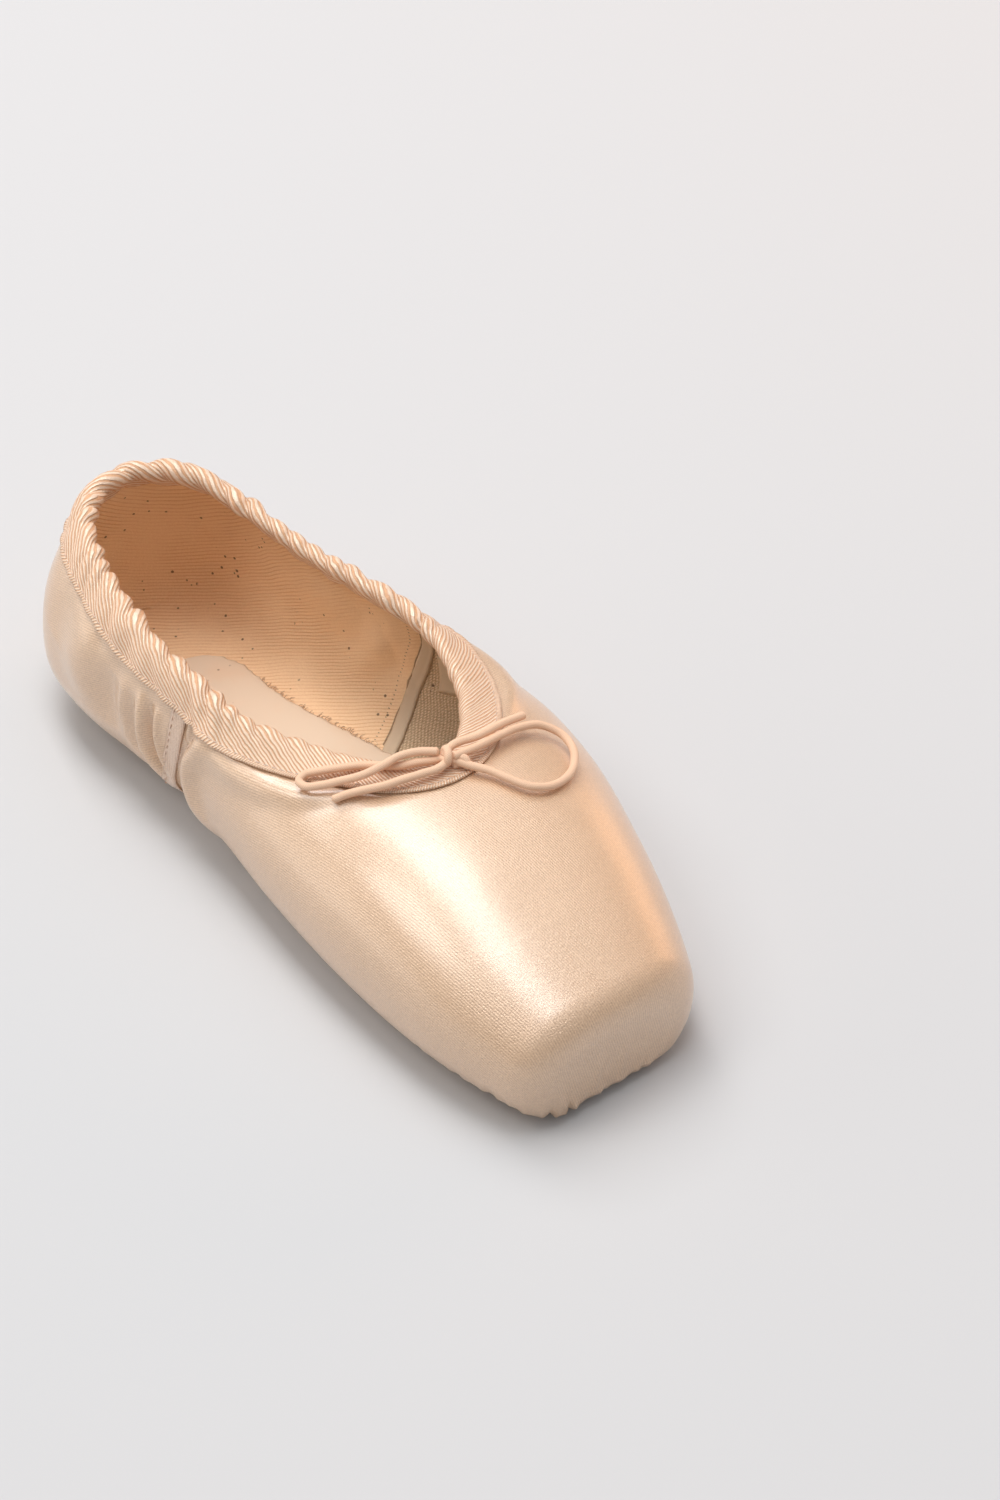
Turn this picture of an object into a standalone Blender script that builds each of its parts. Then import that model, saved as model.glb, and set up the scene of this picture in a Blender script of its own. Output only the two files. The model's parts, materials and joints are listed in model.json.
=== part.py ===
"""Pointe shoe with a stiff box, a flat platform, a bound collar and a tied drawstring.

Metres, +Z up, toe towards -Y, floor at z = 0. Shares along the length run from the platform at 0 to the heel at 1.
"""

import math

import bmesh
import bpy
import numpy as np
from mathutils import Vector
from mathutils.bvhtree import BVHTree

LENGTH = 0.232
BALL_WIDTH = 0.094
THROAT_HEIGHT = 0.048
HEEL_HEIGHT = 0.057
THROAT_SHARE = 0.36

PLATFORM_EDGE = 0.008
THROAT_REACH = 0.054
HEEL_ROUND = 0.033
COLLAR_ROUND = 0.025
HEEL_LEAN = 0.011
HEEL_LEAN_FROM = 0.024
HEEL_LEAN_RISE = 0.038
HEEL_TUCK = 0.005
HEEL_TUCK_TO = 0.020
HEEL_TUCK_RISE = 0.018
SECTION_POWER = 2.45

WALL = 0.0016
BOX_WALL = 0.003
BOX_WALL_FROM = 0.004
BOX_WALL_RISE = 0.010
OUTSOLE_THICK = 0.0022
INSOLE_THICK = 0.0016
MARGIN = 0.009
GAP = 0.0003
TOE_TUCK = 0.0017

BINDING_GAP = 0.0005
BINDING_THICK = 0.0008
BINDING_DROP = 0.009

CORD_RADIUS = 0.0011

# Shares along the length where the opening under the upper, the sock and the thick wall begin and end.
OPENING_FROM = 0.090
OPENING_TO = 0.840
SOCK_FROM = 0.085
SOCK_TO = 0.855
BOARD_FROM = 0.110
BOARD_TO = 0.825
BOX_WALL_TO = 0.340
BOX_WALL_FADE = 0.120
PLEATS_TO = 0.048
PLEATS_FADE = 0.036

# Radius of each rounded end in plan, front and back.
OPENING_ENDS = (0.025, 0.018)
SOCK_ENDS = (0.022, 0.017)
BOARD_ENDS = (0.016, 0.012)
OUTSOLE_ENDS = (0.016, 0.018)
SOCK_CLEARANCE = 0.0030
BOARD_CLEARANCE = 0.0008
OUTSOLE_EDGE = 0.0006

# Half width, widest height, foot line and near-side slack of each cross-section.
# Columns: share, half / half ball, belly / throat height, foot / half ball, slack / half ball
SECTIONS = np.array(
    [
        (0.00, 0.570, 0.300, 0.340, 0.000),
        (0.05, 0.680, 0.310, 0.410, 0.000),
        (0.12, 0.800, 0.330, 0.500, 0.000),
        (0.22, 0.910, 0.350, 0.600, 0.000),
        (0.33, 0.990, 0.380, 0.640, 0.000),
        (0.43, 1.000, 0.410, 0.590, 0.000),
        (0.52, 0.930, 0.430, 0.490, 0.000),
        (0.62, 0.815, 0.455, 0.400, 0.020),
        (0.72, 0.735, 0.455, 0.360, 0.080),
        (0.84, 0.690, 0.455, 0.380, 0.125),
        (0.93, 0.660, 0.455, 0.390, 0.090),
        (1.00, 0.640, 0.455, 0.385, 0.000),
    ]
)

# Columns: share, crown / throat height
CROWN = np.array(
    [
        (0.00, 0.640),
        (0.05, 0.730),
        (0.12, 0.845),
        (0.21, 0.955),
        (0.28, 0.995),
        (0.36, 0.995),
    ]
)

# Columns: share, half opening / half ball, height / heel height
COLLAR = np.array(
    [
        (0.36, 0.553, 0.838),
        (0.41, 0.575, 0.831),
        (0.47, 0.620, 0.818),
        (0.55, 0.670, 0.832),
        (0.65, 0.640, 0.868),
        (0.75, 0.585, 0.895),
        (0.85, 0.500, 0.947),
        (0.93, 0.420, 0.990),
        (1.00, 0.383, 1.000),
    ]
)

# Columns: share, sideways set of the centre line / half ball, lift of the sole line / throat height
LINE = np.array(
    [
        (0.00, -0.1830, 0.0125),
        (0.12, -0.1362, 0.0000),
        (0.20, -0.0936, 0.0000),
        (0.42, 0.0043, 0.0000),
        (0.60, -0.0766, 0.0458),
        (0.74, -0.1723, 0.0250),
        (0.82, -0.1830, 0.0000),
        (1.00, -0.1830, 0.0000),
    ]
)

# Columns: share, half width / half ball
OUTSOLE = np.array(
    [
        (0.055, 0.300),
        (0.120, 0.400),
        (0.220, 0.510),
        (0.320, 0.560),
        (0.430, 0.500),
        (0.540, 0.370),
        (0.650, 0.270),
        (0.760, 0.265),
        (0.860, 0.310),
        (0.945, 0.320),
    ]
)

# Centre lines of the bow in millimetres: x, y, z.
LOOP_RIGHT = (
    (0.5, -37.0, 52.4),
    (8.9, -37.0, 51.5),
    (16.0, -36.2, 50.5),
    (22.9, -35.6, 49.0),
    (28.9, -36.3, 47.0),
    (32.5, -40.2, 45.0),
    (31.9, -46.4, 44.5),
    (29.0, -50.8, 44.5),
    (22.0, -55.6, 46.0),
    (14.9, -56.5, 48.0),
    (11.4, -54.8, 49.0),
    (8.4, -50.2, 49.8),
    (6.0, -45.0, 50.2),
    (2.4, -39.8, 50.6),
)
LOOP_LEFT = (
    (-2.0, -33.3, 52.7),
    (-5.6, -30.7, 52.8),
    (-10.5, -28.8, 52.6),
    (-16.6, -28.5, 52.0),
    (-21.7, -26.8, 50.5),
    (-26.0, -23.9, 49.0),
    (-30.2, -21.1, 47.8),
    (-33.0, -18.1, 46.9),
    (-32.8, -15.3, 46.7),
    (-30.8, -14.9, 47.2),
    (-27.6, -17.1, 48.3),
    (-23.3, -20.1, 49.2),
    (-18.9, -22.8, 49.6),
    (-15.0, -26.1, 49.8),
    (-11.1, -29.5, 50.0),
    (-7.6, -31.7, 50.8),
    (-4.2, -33.2, 50.6),
)
END_RIGHT = ((1.6, -33.9, 52.6), (10.0, -34.6, 52.4), (19.3, -33.6, 51.2), (26.0, -33.0, 49.6))
END_LEFT = (
    (-3.6, -36.9, 50.9),
    (-9.0, -35.9, 50.8),
    (-13.8, -34.5, 50.5),
    (-18.2, -32.9, 49.8),
    (-23.0, -29.8, 48.5),
    (-26.9, -27.2, 47.1),
    (-29.4, -25.9, 46.0),
)
KNOT_CENTRE = (-0.7, -35.3, 51.9)
KNOT_RING = 1.7
KNOT_TURN = math.radians(300)
BOW_HEADING = math.radians(-25)


def blend(table, column, at):
    """Smooth curve through one column of a table."""
    shares = table[:, 0]
    values = table[:, column]
    at = np.clip(np.asarray(at, float), shares[0], shares[-1])
    i = np.clip(np.searchsorted(shares, at) - 1, 0, len(shares) - 2)
    step = np.diff(shares)
    slope = np.diff(values) / step
    inner = (slope[:-1] * step[1:] + slope[1:] * step[:-1]) / (step[:-1] + step[1:])
    tangent = np.concatenate([slope[:1], inner, slope[-1:]])
    t = (at - shares[i]) / step[i]
    return (
        (2 * t**3 - 3 * t**2 + 1) * values[i]
        + (t**3 - 2 * t**2 + t) * step[i] * tangent[i]
        + (3 * t**2 - 2 * t**3) * values[i + 1]
        + (t**3 - t**2) * step[i] * tangent[i + 1]
    )


def rounded(distance, radius, power=2.0):
    """Rises from 0 at an end to 1 one radius away from it."""
    t = np.clip(np.asarray(distance, float) / radius, 0.0, 1.0)
    return (1 - (1 - t) ** power) ** (1 / power)


def stations():
    """Shares along the length, close together at the platform, the throat and the heel."""
    toe = PLATFORM_EDGE / LENGTH * (1 - np.cos(np.linspace(0, math.pi / 2, 6)))
    box = np.linspace(toe[-1], THROAT_SHARE, 11)[1:]
    throat = THROAT_SHARE + 0.12 * np.linspace(0, 1, 9)[1:] ** 2
    heel = 1 - HEEL_ROUND / LENGTH * (1 - np.cos(np.linspace(math.pi / 2, 0, 9)))
    quarter = np.linspace(throat[-1], heel[0], 13)[1:-1]
    return np.concatenate([toe, box, throat, quarter, heel])


def centre(share):
    return blend(LINE, 1, share) * BALL_WIDTH / 2


def lift(share):
    return np.maximum(blend(LINE, 2, share), 0.0) * THROAT_HEIGHT


def toe_drop(share):
    """How far the pleats in front of the outsole come down below its top."""
    t = np.clip((PLEATS_TO - share) / PLEATS_FADE, 0, 1)
    return TOE_TUCK * float(t * t * (3 - 2 * t))


def opening_under(share):
    """Half width of the opening under the upper, which the sole closes."""
    foot = blend(SECTIONS, 3, share) * BALL_WIDTH / 2
    front = rounded((share - OPENING_FROM) * LENGTH, OPENING_ENDS[0])
    back = rounded((OPENING_TO - share) * LENGTH, OPENING_ENDS[1])
    return (foot - MARGIN) * front * back


def side_section(share, side):
    """Points of one half cross-section, from the turned-under margin up to the collar or the crown."""
    half_ball = BALL_WIDTH / 2
    heel = float(rounded((1 - share) * LENGTH, HEEL_ROUND, 2.3))
    inset = PLATFORM_EDGE * (1 - float(rounded(share * LENGTH, PLATFORM_EDGE, 2.3)))
    slack = float(blend(SECTIONS, 4, share)) if side < 0 else 0.0
    wide = ((float(blend(SECTIONS, 1, share)) + slack) * half_ball - inset) * heel
    foot = (float(blend(SECTIONS, 3, share)) * half_ball - 0.5 * inset) * heel
    belly = float(blend(SECTIONS, 2, share)) * THROAT_HEIGHT
    low = OUTSOLE_THICK + GAP + float(lift(share)) + 0.4 * inset - toe_drop(share)
    if share <= THROAT_SHARE:
        top = float(blend(CROWN, 1, share)) * THROAT_HEIGHT - inset
        reach = 0.0
    else:
        top = float(blend(COLLAR, 2, share)) * HEEL_HEIGHT
        reach = float(blend(COLLAR, 1, share)) * half_ball
        reach *= float(rounded((share - THROAT_SHARE) * LENGTH, THROAT_REACH))
        reach = min(reach * float(rounded((1 - share) * LENGTH, COLLAR_ROUND)), 0.98 * wide)
    turn = math.acos((reach / wide) ** (SECTION_POWER / 2)) if wide > 1e-6 else 1.0
    points = []
    for t in (0.0, 0.5):
        points.append((float(opening_under(share)) * (1 - t) + foot * t, low))
    for angle in np.linspace(0, math.pi / 2, 5)[:-1]:
        points.append((foot + (wide - foot) * math.sin(angle), low + (belly - low) * (1 - math.cos(angle))))
    for angle in turn * np.linspace(0, 1, 10) ** 1.15:
        x = wide * max(math.cos(angle), 0.0) ** (2 / SECTION_POWER)
        z = belly + (top - belly) * (math.sin(angle) / math.sin(turn)) ** (2 / SECTION_POWER)
        points.append((x, z))
    back = np.clip((share - 0.70) / 0.30, 0, 1) ** 1.5
    placed = []
    for x, z in points:
        lean = HEEL_LEAN * max((z - HEEL_LEAN_FROM) / HEEL_LEAN_RISE, 0.0) ** 2
        tuck = HEEL_TUCK * max((HEEL_TUCK_TO - z) / HEEL_TUCK_RISE, 0.0) ** 2
        y = (share - 0.5) * LENGTH - back * (lean + tuck)
        placed.append(Vector((side * x + float(centre(share)), y, z)))
    placed[-1].x = float(centre(share)) if share <= THROAT_SHARE else placed[-1].x
    return placed


def new_object(name, material, mesh):
    """Links a mesh to the shoe's collection with its material."""
    obj = bpy.data.objects.new(name, mesh)
    obj.data.materials.append(material)
    SHOE.objects.link(obj)
    return obj


def mesh_from(name, bm):
    bmesh.ops.recalc_face_normals(bm, faces=bm.faces)
    mesh = bpy.data.meshes.new(name)
    bm.to_mesh(mesh)
    bm.free()
    for polygon in mesh.polygons:
        polygon.use_smooth = True
    return mesh


def outer_skin():
    """The outside of the upper as an open mesh: two sides joined along the crown, the heel and the platform."""
    bm = bmesh.new()
    ends = []
    for side in (1, -1):
        rows = [[bm.verts.new(point) for point in side_section(share, side)] for share in stations()]
        for first, second in zip(rows, rows[1:]):
            for j in range(len(first) - 1):
                bm.faces.new((first[j], first[j + 1], second[j + 1], second[j]))
        ends.append(rows[0])
    for j in range(len(ends[0]) - 1):
        bm.faces.new((ends[0][j], ends[0][j + 1], ends[1][j + 1], ends[1][j]))
    bmesh.ops.remove_doubles(bm, verts=bm.verts, dist=1e-6)
    bmesh.ops.dissolve_degenerate(bm, edges=bm.edges, dist=1e-7)
    return bm


def wall_share(point):
    """Wall at this point over the box wall: full in the box, thin at the quarters, the collar and the margin."""
    share = point.y / LENGTH + 0.5
    thin = WALL / BOX_WALL
    along = np.clip((BOX_WALL_TO - share) / BOX_WALL_FADE, 0, 1)
    high = np.clip((point.z - BOX_WALL_FROM) / BOX_WALL_RISE, 0, 1)
    return thin + (1 - thin) * float(along * high)


def build_upper(material):
    mesh = mesh_from("upper", outer_skin())
    obj = new_object("upper", material, mesh)
    group = obj.vertex_groups.new(name="wall")
    for vertex in mesh.vertices:
        group.add([vertex.index], wall_share(vertex.co), "REPLACE")
    solid = obj.modifiers.new("wall", "SOLIDIFY")
    solid.thickness = BOX_WALL
    solid.offset = -1
    solid.vertex_group = "wall"
    solid.use_even_offset = False
    solid.use_quality_normals = True
    return obj


def collar_line():
    """Closed line of the collar's edge, from the throat round the heel and back."""
    shares = [share for share in stations() if share >= THROAT_SHARE - 1e-9]
    right = [side_section(share, 1)[-1] for share in shares]
    left = [side_section(share, -1)[-1] for share in shares]
    return right + left[-2:0:-1]


def spread(points, count):
    """Points spaced evenly along a closed line."""
    closed = [*points, points[0]]
    length = np.concatenate([[0], np.cumsum([(b - a).length for a, b in zip(closed, closed[1:])])])
    at = np.linspace(0, length[-1], count, endpoint=False)
    flat = np.array(closed)
    return [Vector([float(np.interp(s, length, flat[:, k])) for k in range(3)]) for s in at]


def build_binding(material):
    """Folded tape over the collar's edge: one U-shaped section carried round the loop."""
    skin = outer_skin()
    bmesh.ops.recalc_face_normals(skin, faces=skin.faces)
    tree = BVHTree.FromBMesh(skin)
    skin.free()
    line = spread(collar_line(), 92)
    outside = BINDING_GAP + BINDING_THICK
    inside = WALL + BINDING_GAP + BINDING_THICK
    middle = -WALL / 2
    bm = bmesh.new()
    rings = []
    for i, point in enumerate(line):
        along = (line[(i + 1) % len(line)] - line[i - 1]).normalized()
        _, normal, _, _ = tree.find_nearest(point)
        samples = [tree.find_nearest(point + along.cross(normal) * s) for s in (0.45 * BINDING_DROP, -0.45 * BINDING_DROP)]
        inward = 1 if samples[0][3] > samples[1][3] else -1
        up = (along.cross(normal) * inward).normalized()
        down = []
        for drop in (1.0, 0.66, 0.33, 0.0):
            place, face, _, _ = tree.find_nearest(point - up * BINDING_DROP * drop)
            down.append((place, face))
        ring = [place + face * outside for place, face in down]
        ring.append(point + normal * (0.6 * outside) + up * (0.8 * outside))
        ring.append(point + normal * middle + up * outside * 1.15)
        ring.append(point - normal * (WALL + 0.6 * outside) + up * (0.8 * outside))
        ring += [place - face * inside for place, face in down[::-1]]
        ring += [place - face * (WALL + BINDING_GAP) for place, face in down]
        ring.append(point + normal * middle + up * BINDING_GAP * 1.2)
        ring += [place + face * BINDING_GAP for place, face in down[::-1]]
        rings.append([bm.verts.new(p) for p in ring])
    for first, second in zip(rings, rings[1:] + rings[:1]):
        for j in range(len(first)):
            k = (j + 1) % len(first)
            bm.faces.new((first[j], first[k], second[k], second[j]))
    return new_object("collar_binding", material, mesh_from("collar_binding", bm))


def slab(shares, halves, low, high):
    """Flat piece that follows the sole line, as a bmesh."""
    bm = bmesh.new()
    rings = []
    for share, half in zip(shares, halves):
        x = float(centre(share))
        y = (share - 0.5) * LENGTH
        z = float(lift(share))
        corners = ((-half, low), (half, low), (half, high), (-half, high))
        rings.append([bm.verts.new((x + dx, y, z + dz)) for dx, dz in corners])
    for first, second in zip(rings, rings[1:]):
        for j in range(4):
            k = (j + 1) % 4
            bm.faces.new((first[j], first[k], second[k], second[j]))
    bm.faces.new(rings[0])
    bm.faces.new(rings[-1])
    return bm


def sole_stations(first, last, radii, count=30):
    """Shares of a slab, close together at its rounded ends, with the factor that rounds each width."""
    t = 0.5 - 0.5 * np.cos(np.linspace(0.06, math.pi - 0.06, count))
    shares = first + (last - first) * t
    front = rounded((shares - first) * LENGTH, radii[0], 2.2)
    back = rounded((last - shares) * LENGTH, radii[1], 2.2)
    return shares, front * back


def build_outsole(material):
    first, last = OUTSOLE[0, 0], OUTSOLE[-1, 0]
    shares, ends = sole_stations(first, last, OUTSOLE_ENDS)
    halves = blend(OUTSOLE, 1, shares) * BALL_WIDTH / 2 * ends
    mesh = mesh_from("outsole", slab(shares, halves, 0.0, OUTSOLE_THICK))
    for polygon in mesh.polygons:
        polygon.use_smooth = False
    obj = new_object("outsole", material, mesh)
    edge = obj.modifiers.new("skived edge", "BEVEL")
    edge.width = OUTSOLE_EDGE
    edge.segments = 1
    edge.limit_method = "ANGLE"
    edge.angle_limit = math.radians(50)
    return obj


def build_insole(material):
    """Lining sock on the margin, with the board below it that fills the opening."""
    low = OUTSOLE_THICK + GAP + WALL + GAP
    shares, ends = sole_stations(SOCK_FROM, SOCK_TO, SOCK_ENDS)
    halves = (blend(SECTIONS, 3, shares) * BALL_WIDTH / 2 - SOCK_CLEARANCE) * ends
    obj = new_object("insole", material, mesh_from("insole", slab(shares, halves, low, low + INSOLE_THICK)))
    shares, ends = sole_stations(BOARD_FROM, BOARD_TO, BOARD_ENDS)
    halves = np.maximum((opening_under(shares) - BOARD_CLEARANCE) * ends, BOARD_CLEARANCE / 2)
    filling = slab(shares, halves, OUTSOLE_THICK + GAP, low + 0.0004)
    board = bpy.data.objects.new("insole_board", mesh_from("insole_board", filling))
    board.hide_render = True
    board.display_type = "WIRE"
    CUTTERS.objects.link(board)
    join = obj.modifiers.new("board", "BOOLEAN")
    join.operation = "UNION"
    join.solver = "EXACT"
    join.object = board
    return obj


def cord(name, material, route):
    """Round cord along a smooth line through the route's points."""
    knots = np.array(route, float) / 1000
    steps = np.linalg.norm(np.diff(knots, axis=0), axis=1)
    table = np.column_stack([np.concatenate([[0], np.cumsum(steps)]), knots])
    count = max(int(table[-1, 0] / (5 * CORD_RADIUS)) + 1, 11)
    at = np.linspace(0, table[-1, 0], count)
    curve = bpy.data.curves.new(name, "CURVE")
    curve.dimensions = "3D"
    curve.bevel_depth = CORD_RADIUS
    curve.bevel_resolution = 2
    curve.use_fill_caps = True
    spline = curve.splines.new("POLY")
    spline.points.add(count - 1)
    for i in range(count):
        spline.points[i].co = (*[float(blend(table, k, at[i])) for k in (1, 2, 3)], 1.0)
    curve.materials.append(material)
    obj = bpy.data.objects.new(name, curve)
    SHOE.objects.link(obj)
    return obj


def knot_route():
    """Turn of cord round the strands where they cross."""
    middle = Vector(KNOT_CENTRE)
    across = Vector((-math.sin(BOW_HEADING), math.cos(BOW_HEADING), 0.0))
    turn = np.linspace(0, KNOT_TURN, 11) - math.radians(60)
    return [middle + KNOT_RING * (across * math.cos(a) + Vector((0, 0, 1)) * math.sin(a)) for a in turn]


def material(name, colour, roughness, sheen=0.0):
    made = bpy.data.materials.new(name)
    made.use_nodes = True
    shader = made.node_tree.nodes["Principled BSDF"]
    shader.inputs["Base Color"].default_value = (*colour, 1.0)
    shader.inputs["Roughness"].default_value = roughness
    shader.inputs["Sheen Weight"].default_value = sheen
    return made


def main():
    build_outsole(material("outsole_leather", (0.16, 0.09, 0.055), 0.8))
    build_upper(material("satin_upper", (0.80, 0.56, 0.40), 0.35, 0.3))
    build_insole(material("insole_cotton", (0.74, 0.56, 0.40), 0.9))
    build_binding(material("binding_tape", (0.82, 0.58, 0.43), 0.45, 0.3))
    elastic = {
        "drawstring_knot": knot_route(),
        "drawstring_loop_right": LOOP_RIGHT,
        "drawstring_loop_left": LOOP_LEFT,
        "drawstring_end_right": END_RIGHT,
        "drawstring_end_left": END_LEFT,
    }
    for name, route in elastic.items():
        cord(name, material(name.replace("drawstring", "cord"), (0.72, 0.47, 0.33), 0.8), route)


for stale in list(bpy.data.objects):
    bpy.data.objects.remove(stale, do_unlink=True)
SHOE = bpy.data.collections.new("pointe_shoe")
CUTTERS = bpy.data.collections.new("cutters")
bpy.context.scene.collection.children.link(SHOE)
bpy.context.scene.collection.children.link(CUTTERS)
main()
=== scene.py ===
"""Dresses the pointe shoe: satin, gathered binding, canvas lining, sock, seams and the tied drawstring.

Metres, +Z up, toe towards -Y, floor at z = 0. Shares along the length run from the platform at 0 to the
heel at 1, and the rise of a point runs from the sole's edge at 0 to the collar or the crown at 1.
"""

import json
import logging
import math
from dataclasses import dataclass, field
from enum import Enum

import bpy
import numpy as np
from mathutils import Matrix, Vector
from mathutils.bvhtree import BVHTree

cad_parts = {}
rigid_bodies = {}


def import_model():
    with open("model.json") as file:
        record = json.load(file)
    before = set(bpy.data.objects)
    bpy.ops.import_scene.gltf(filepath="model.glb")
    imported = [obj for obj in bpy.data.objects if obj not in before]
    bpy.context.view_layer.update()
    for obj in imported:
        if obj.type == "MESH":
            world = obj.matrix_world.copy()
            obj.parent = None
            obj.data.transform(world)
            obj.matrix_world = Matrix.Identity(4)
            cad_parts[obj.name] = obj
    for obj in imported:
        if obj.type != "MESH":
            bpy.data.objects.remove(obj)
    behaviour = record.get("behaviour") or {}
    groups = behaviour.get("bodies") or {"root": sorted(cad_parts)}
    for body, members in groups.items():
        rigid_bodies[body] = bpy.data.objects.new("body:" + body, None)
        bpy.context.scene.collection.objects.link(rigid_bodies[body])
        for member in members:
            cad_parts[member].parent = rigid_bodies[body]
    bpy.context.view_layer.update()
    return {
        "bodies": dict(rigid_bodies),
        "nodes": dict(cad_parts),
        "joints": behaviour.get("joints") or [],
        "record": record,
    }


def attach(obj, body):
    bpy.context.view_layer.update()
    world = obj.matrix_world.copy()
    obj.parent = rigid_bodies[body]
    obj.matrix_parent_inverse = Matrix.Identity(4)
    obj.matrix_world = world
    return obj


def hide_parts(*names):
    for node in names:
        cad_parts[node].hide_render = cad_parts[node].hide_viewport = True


LOG = logging.getLogger("pointe_shoe")
Colour = tuple[float, float, float]
SIDES = (1, -1)
MM = 0.001


class Side(Enum):
    """Side of the shoe, as the sign of its x."""

    FAR = 1
    NEAR = -1
    BOTH = 0


def run_along(points: np.ndarray) -> np.ndarray:
    """Distance of each point along its line, from 0."""
    return np.concatenate([[0], np.cumsum(np.linalg.norm(np.diff(points, axis=0), axis=1))])


def unit(directions: np.ndarray) -> np.ndarray:
    """Rows of directions, each of length 1."""
    return directions / np.linalg.norm(directions, axis=1)[:, None]


def even_places(route: tuple | list, count: int) -> np.ndarray:
    """Even places along a smooth line.

    Args:
        route: points of the line, of two or three values each.
        count: places wanted.

    Returns:
        One row a place.
    """
    knots = np.array(route, float)
    run = run_along(knots)
    table = tuple(map(tuple, np.column_stack([run, knots])))
    at = np.linspace(0, run[-1], count)
    return np.column_stack([Last.blend(table, k + 1, at) for k in range(knots.shape[1])])


class Field:
    """One value on a surface: a socket whose operators add the nodes that work the result out."""

    def __init__(self, shading: "Shading", socket: bpy.types.NodeSocket) -> None:
        """Wraps a socket.

        Args:
            shading: the material that the socket belongs to.
            socket: the output that carries the value.
        """
        self.shading = shading
        self.socket = socket

    def calc(self, operation: str, *others: "Field | float") -> "Field":
        """Adds one Math node.

        Args:
            operation: the node's operation.
            others: the second and third values.

        Returns:
            The node's result.
        """
        values = dict(enumerate((self, *others)))
        return self.shading.node("ShaderNodeMath", {"operation": operation}, values)

    def __add__(self, other: "Field | float") -> "Field":
        """Sum."""
        return self.calc("ADD", other)

    def __sub__(self, other: "Field | float") -> "Field":
        """Difference."""
        return self.calc("SUBTRACT", other)

    def __rsub__(self, other: float) -> "Field":
        """Difference from a number."""
        return self.calc("MULTIPLY_ADD", -1.0, other)

    def __mul__(self, other: "Field | float") -> "Field":
        """Product."""
        return self.calc("MULTIPLY", other)

    __radd__ = __add__
    __rmul__ = __mul__

    def wave(self, pitch: float) -> "Field":
        """Smooth wave from 0 to 1 that repeats once a pitch."""
        return (self * (2 * math.pi / pitch)).calc("SINE") * 0.5 + 0.5

    def step(self, low: float, high: float) -> "Field":
        """Rises smoothly from 0 at low to 1 at high."""
        settings = {"interpolation_type": "SMOOTHSTEP"}
        return self.shading.node("ShaderNodeMapRange", settings, {0: self, 1: low, 2: high})


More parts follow.
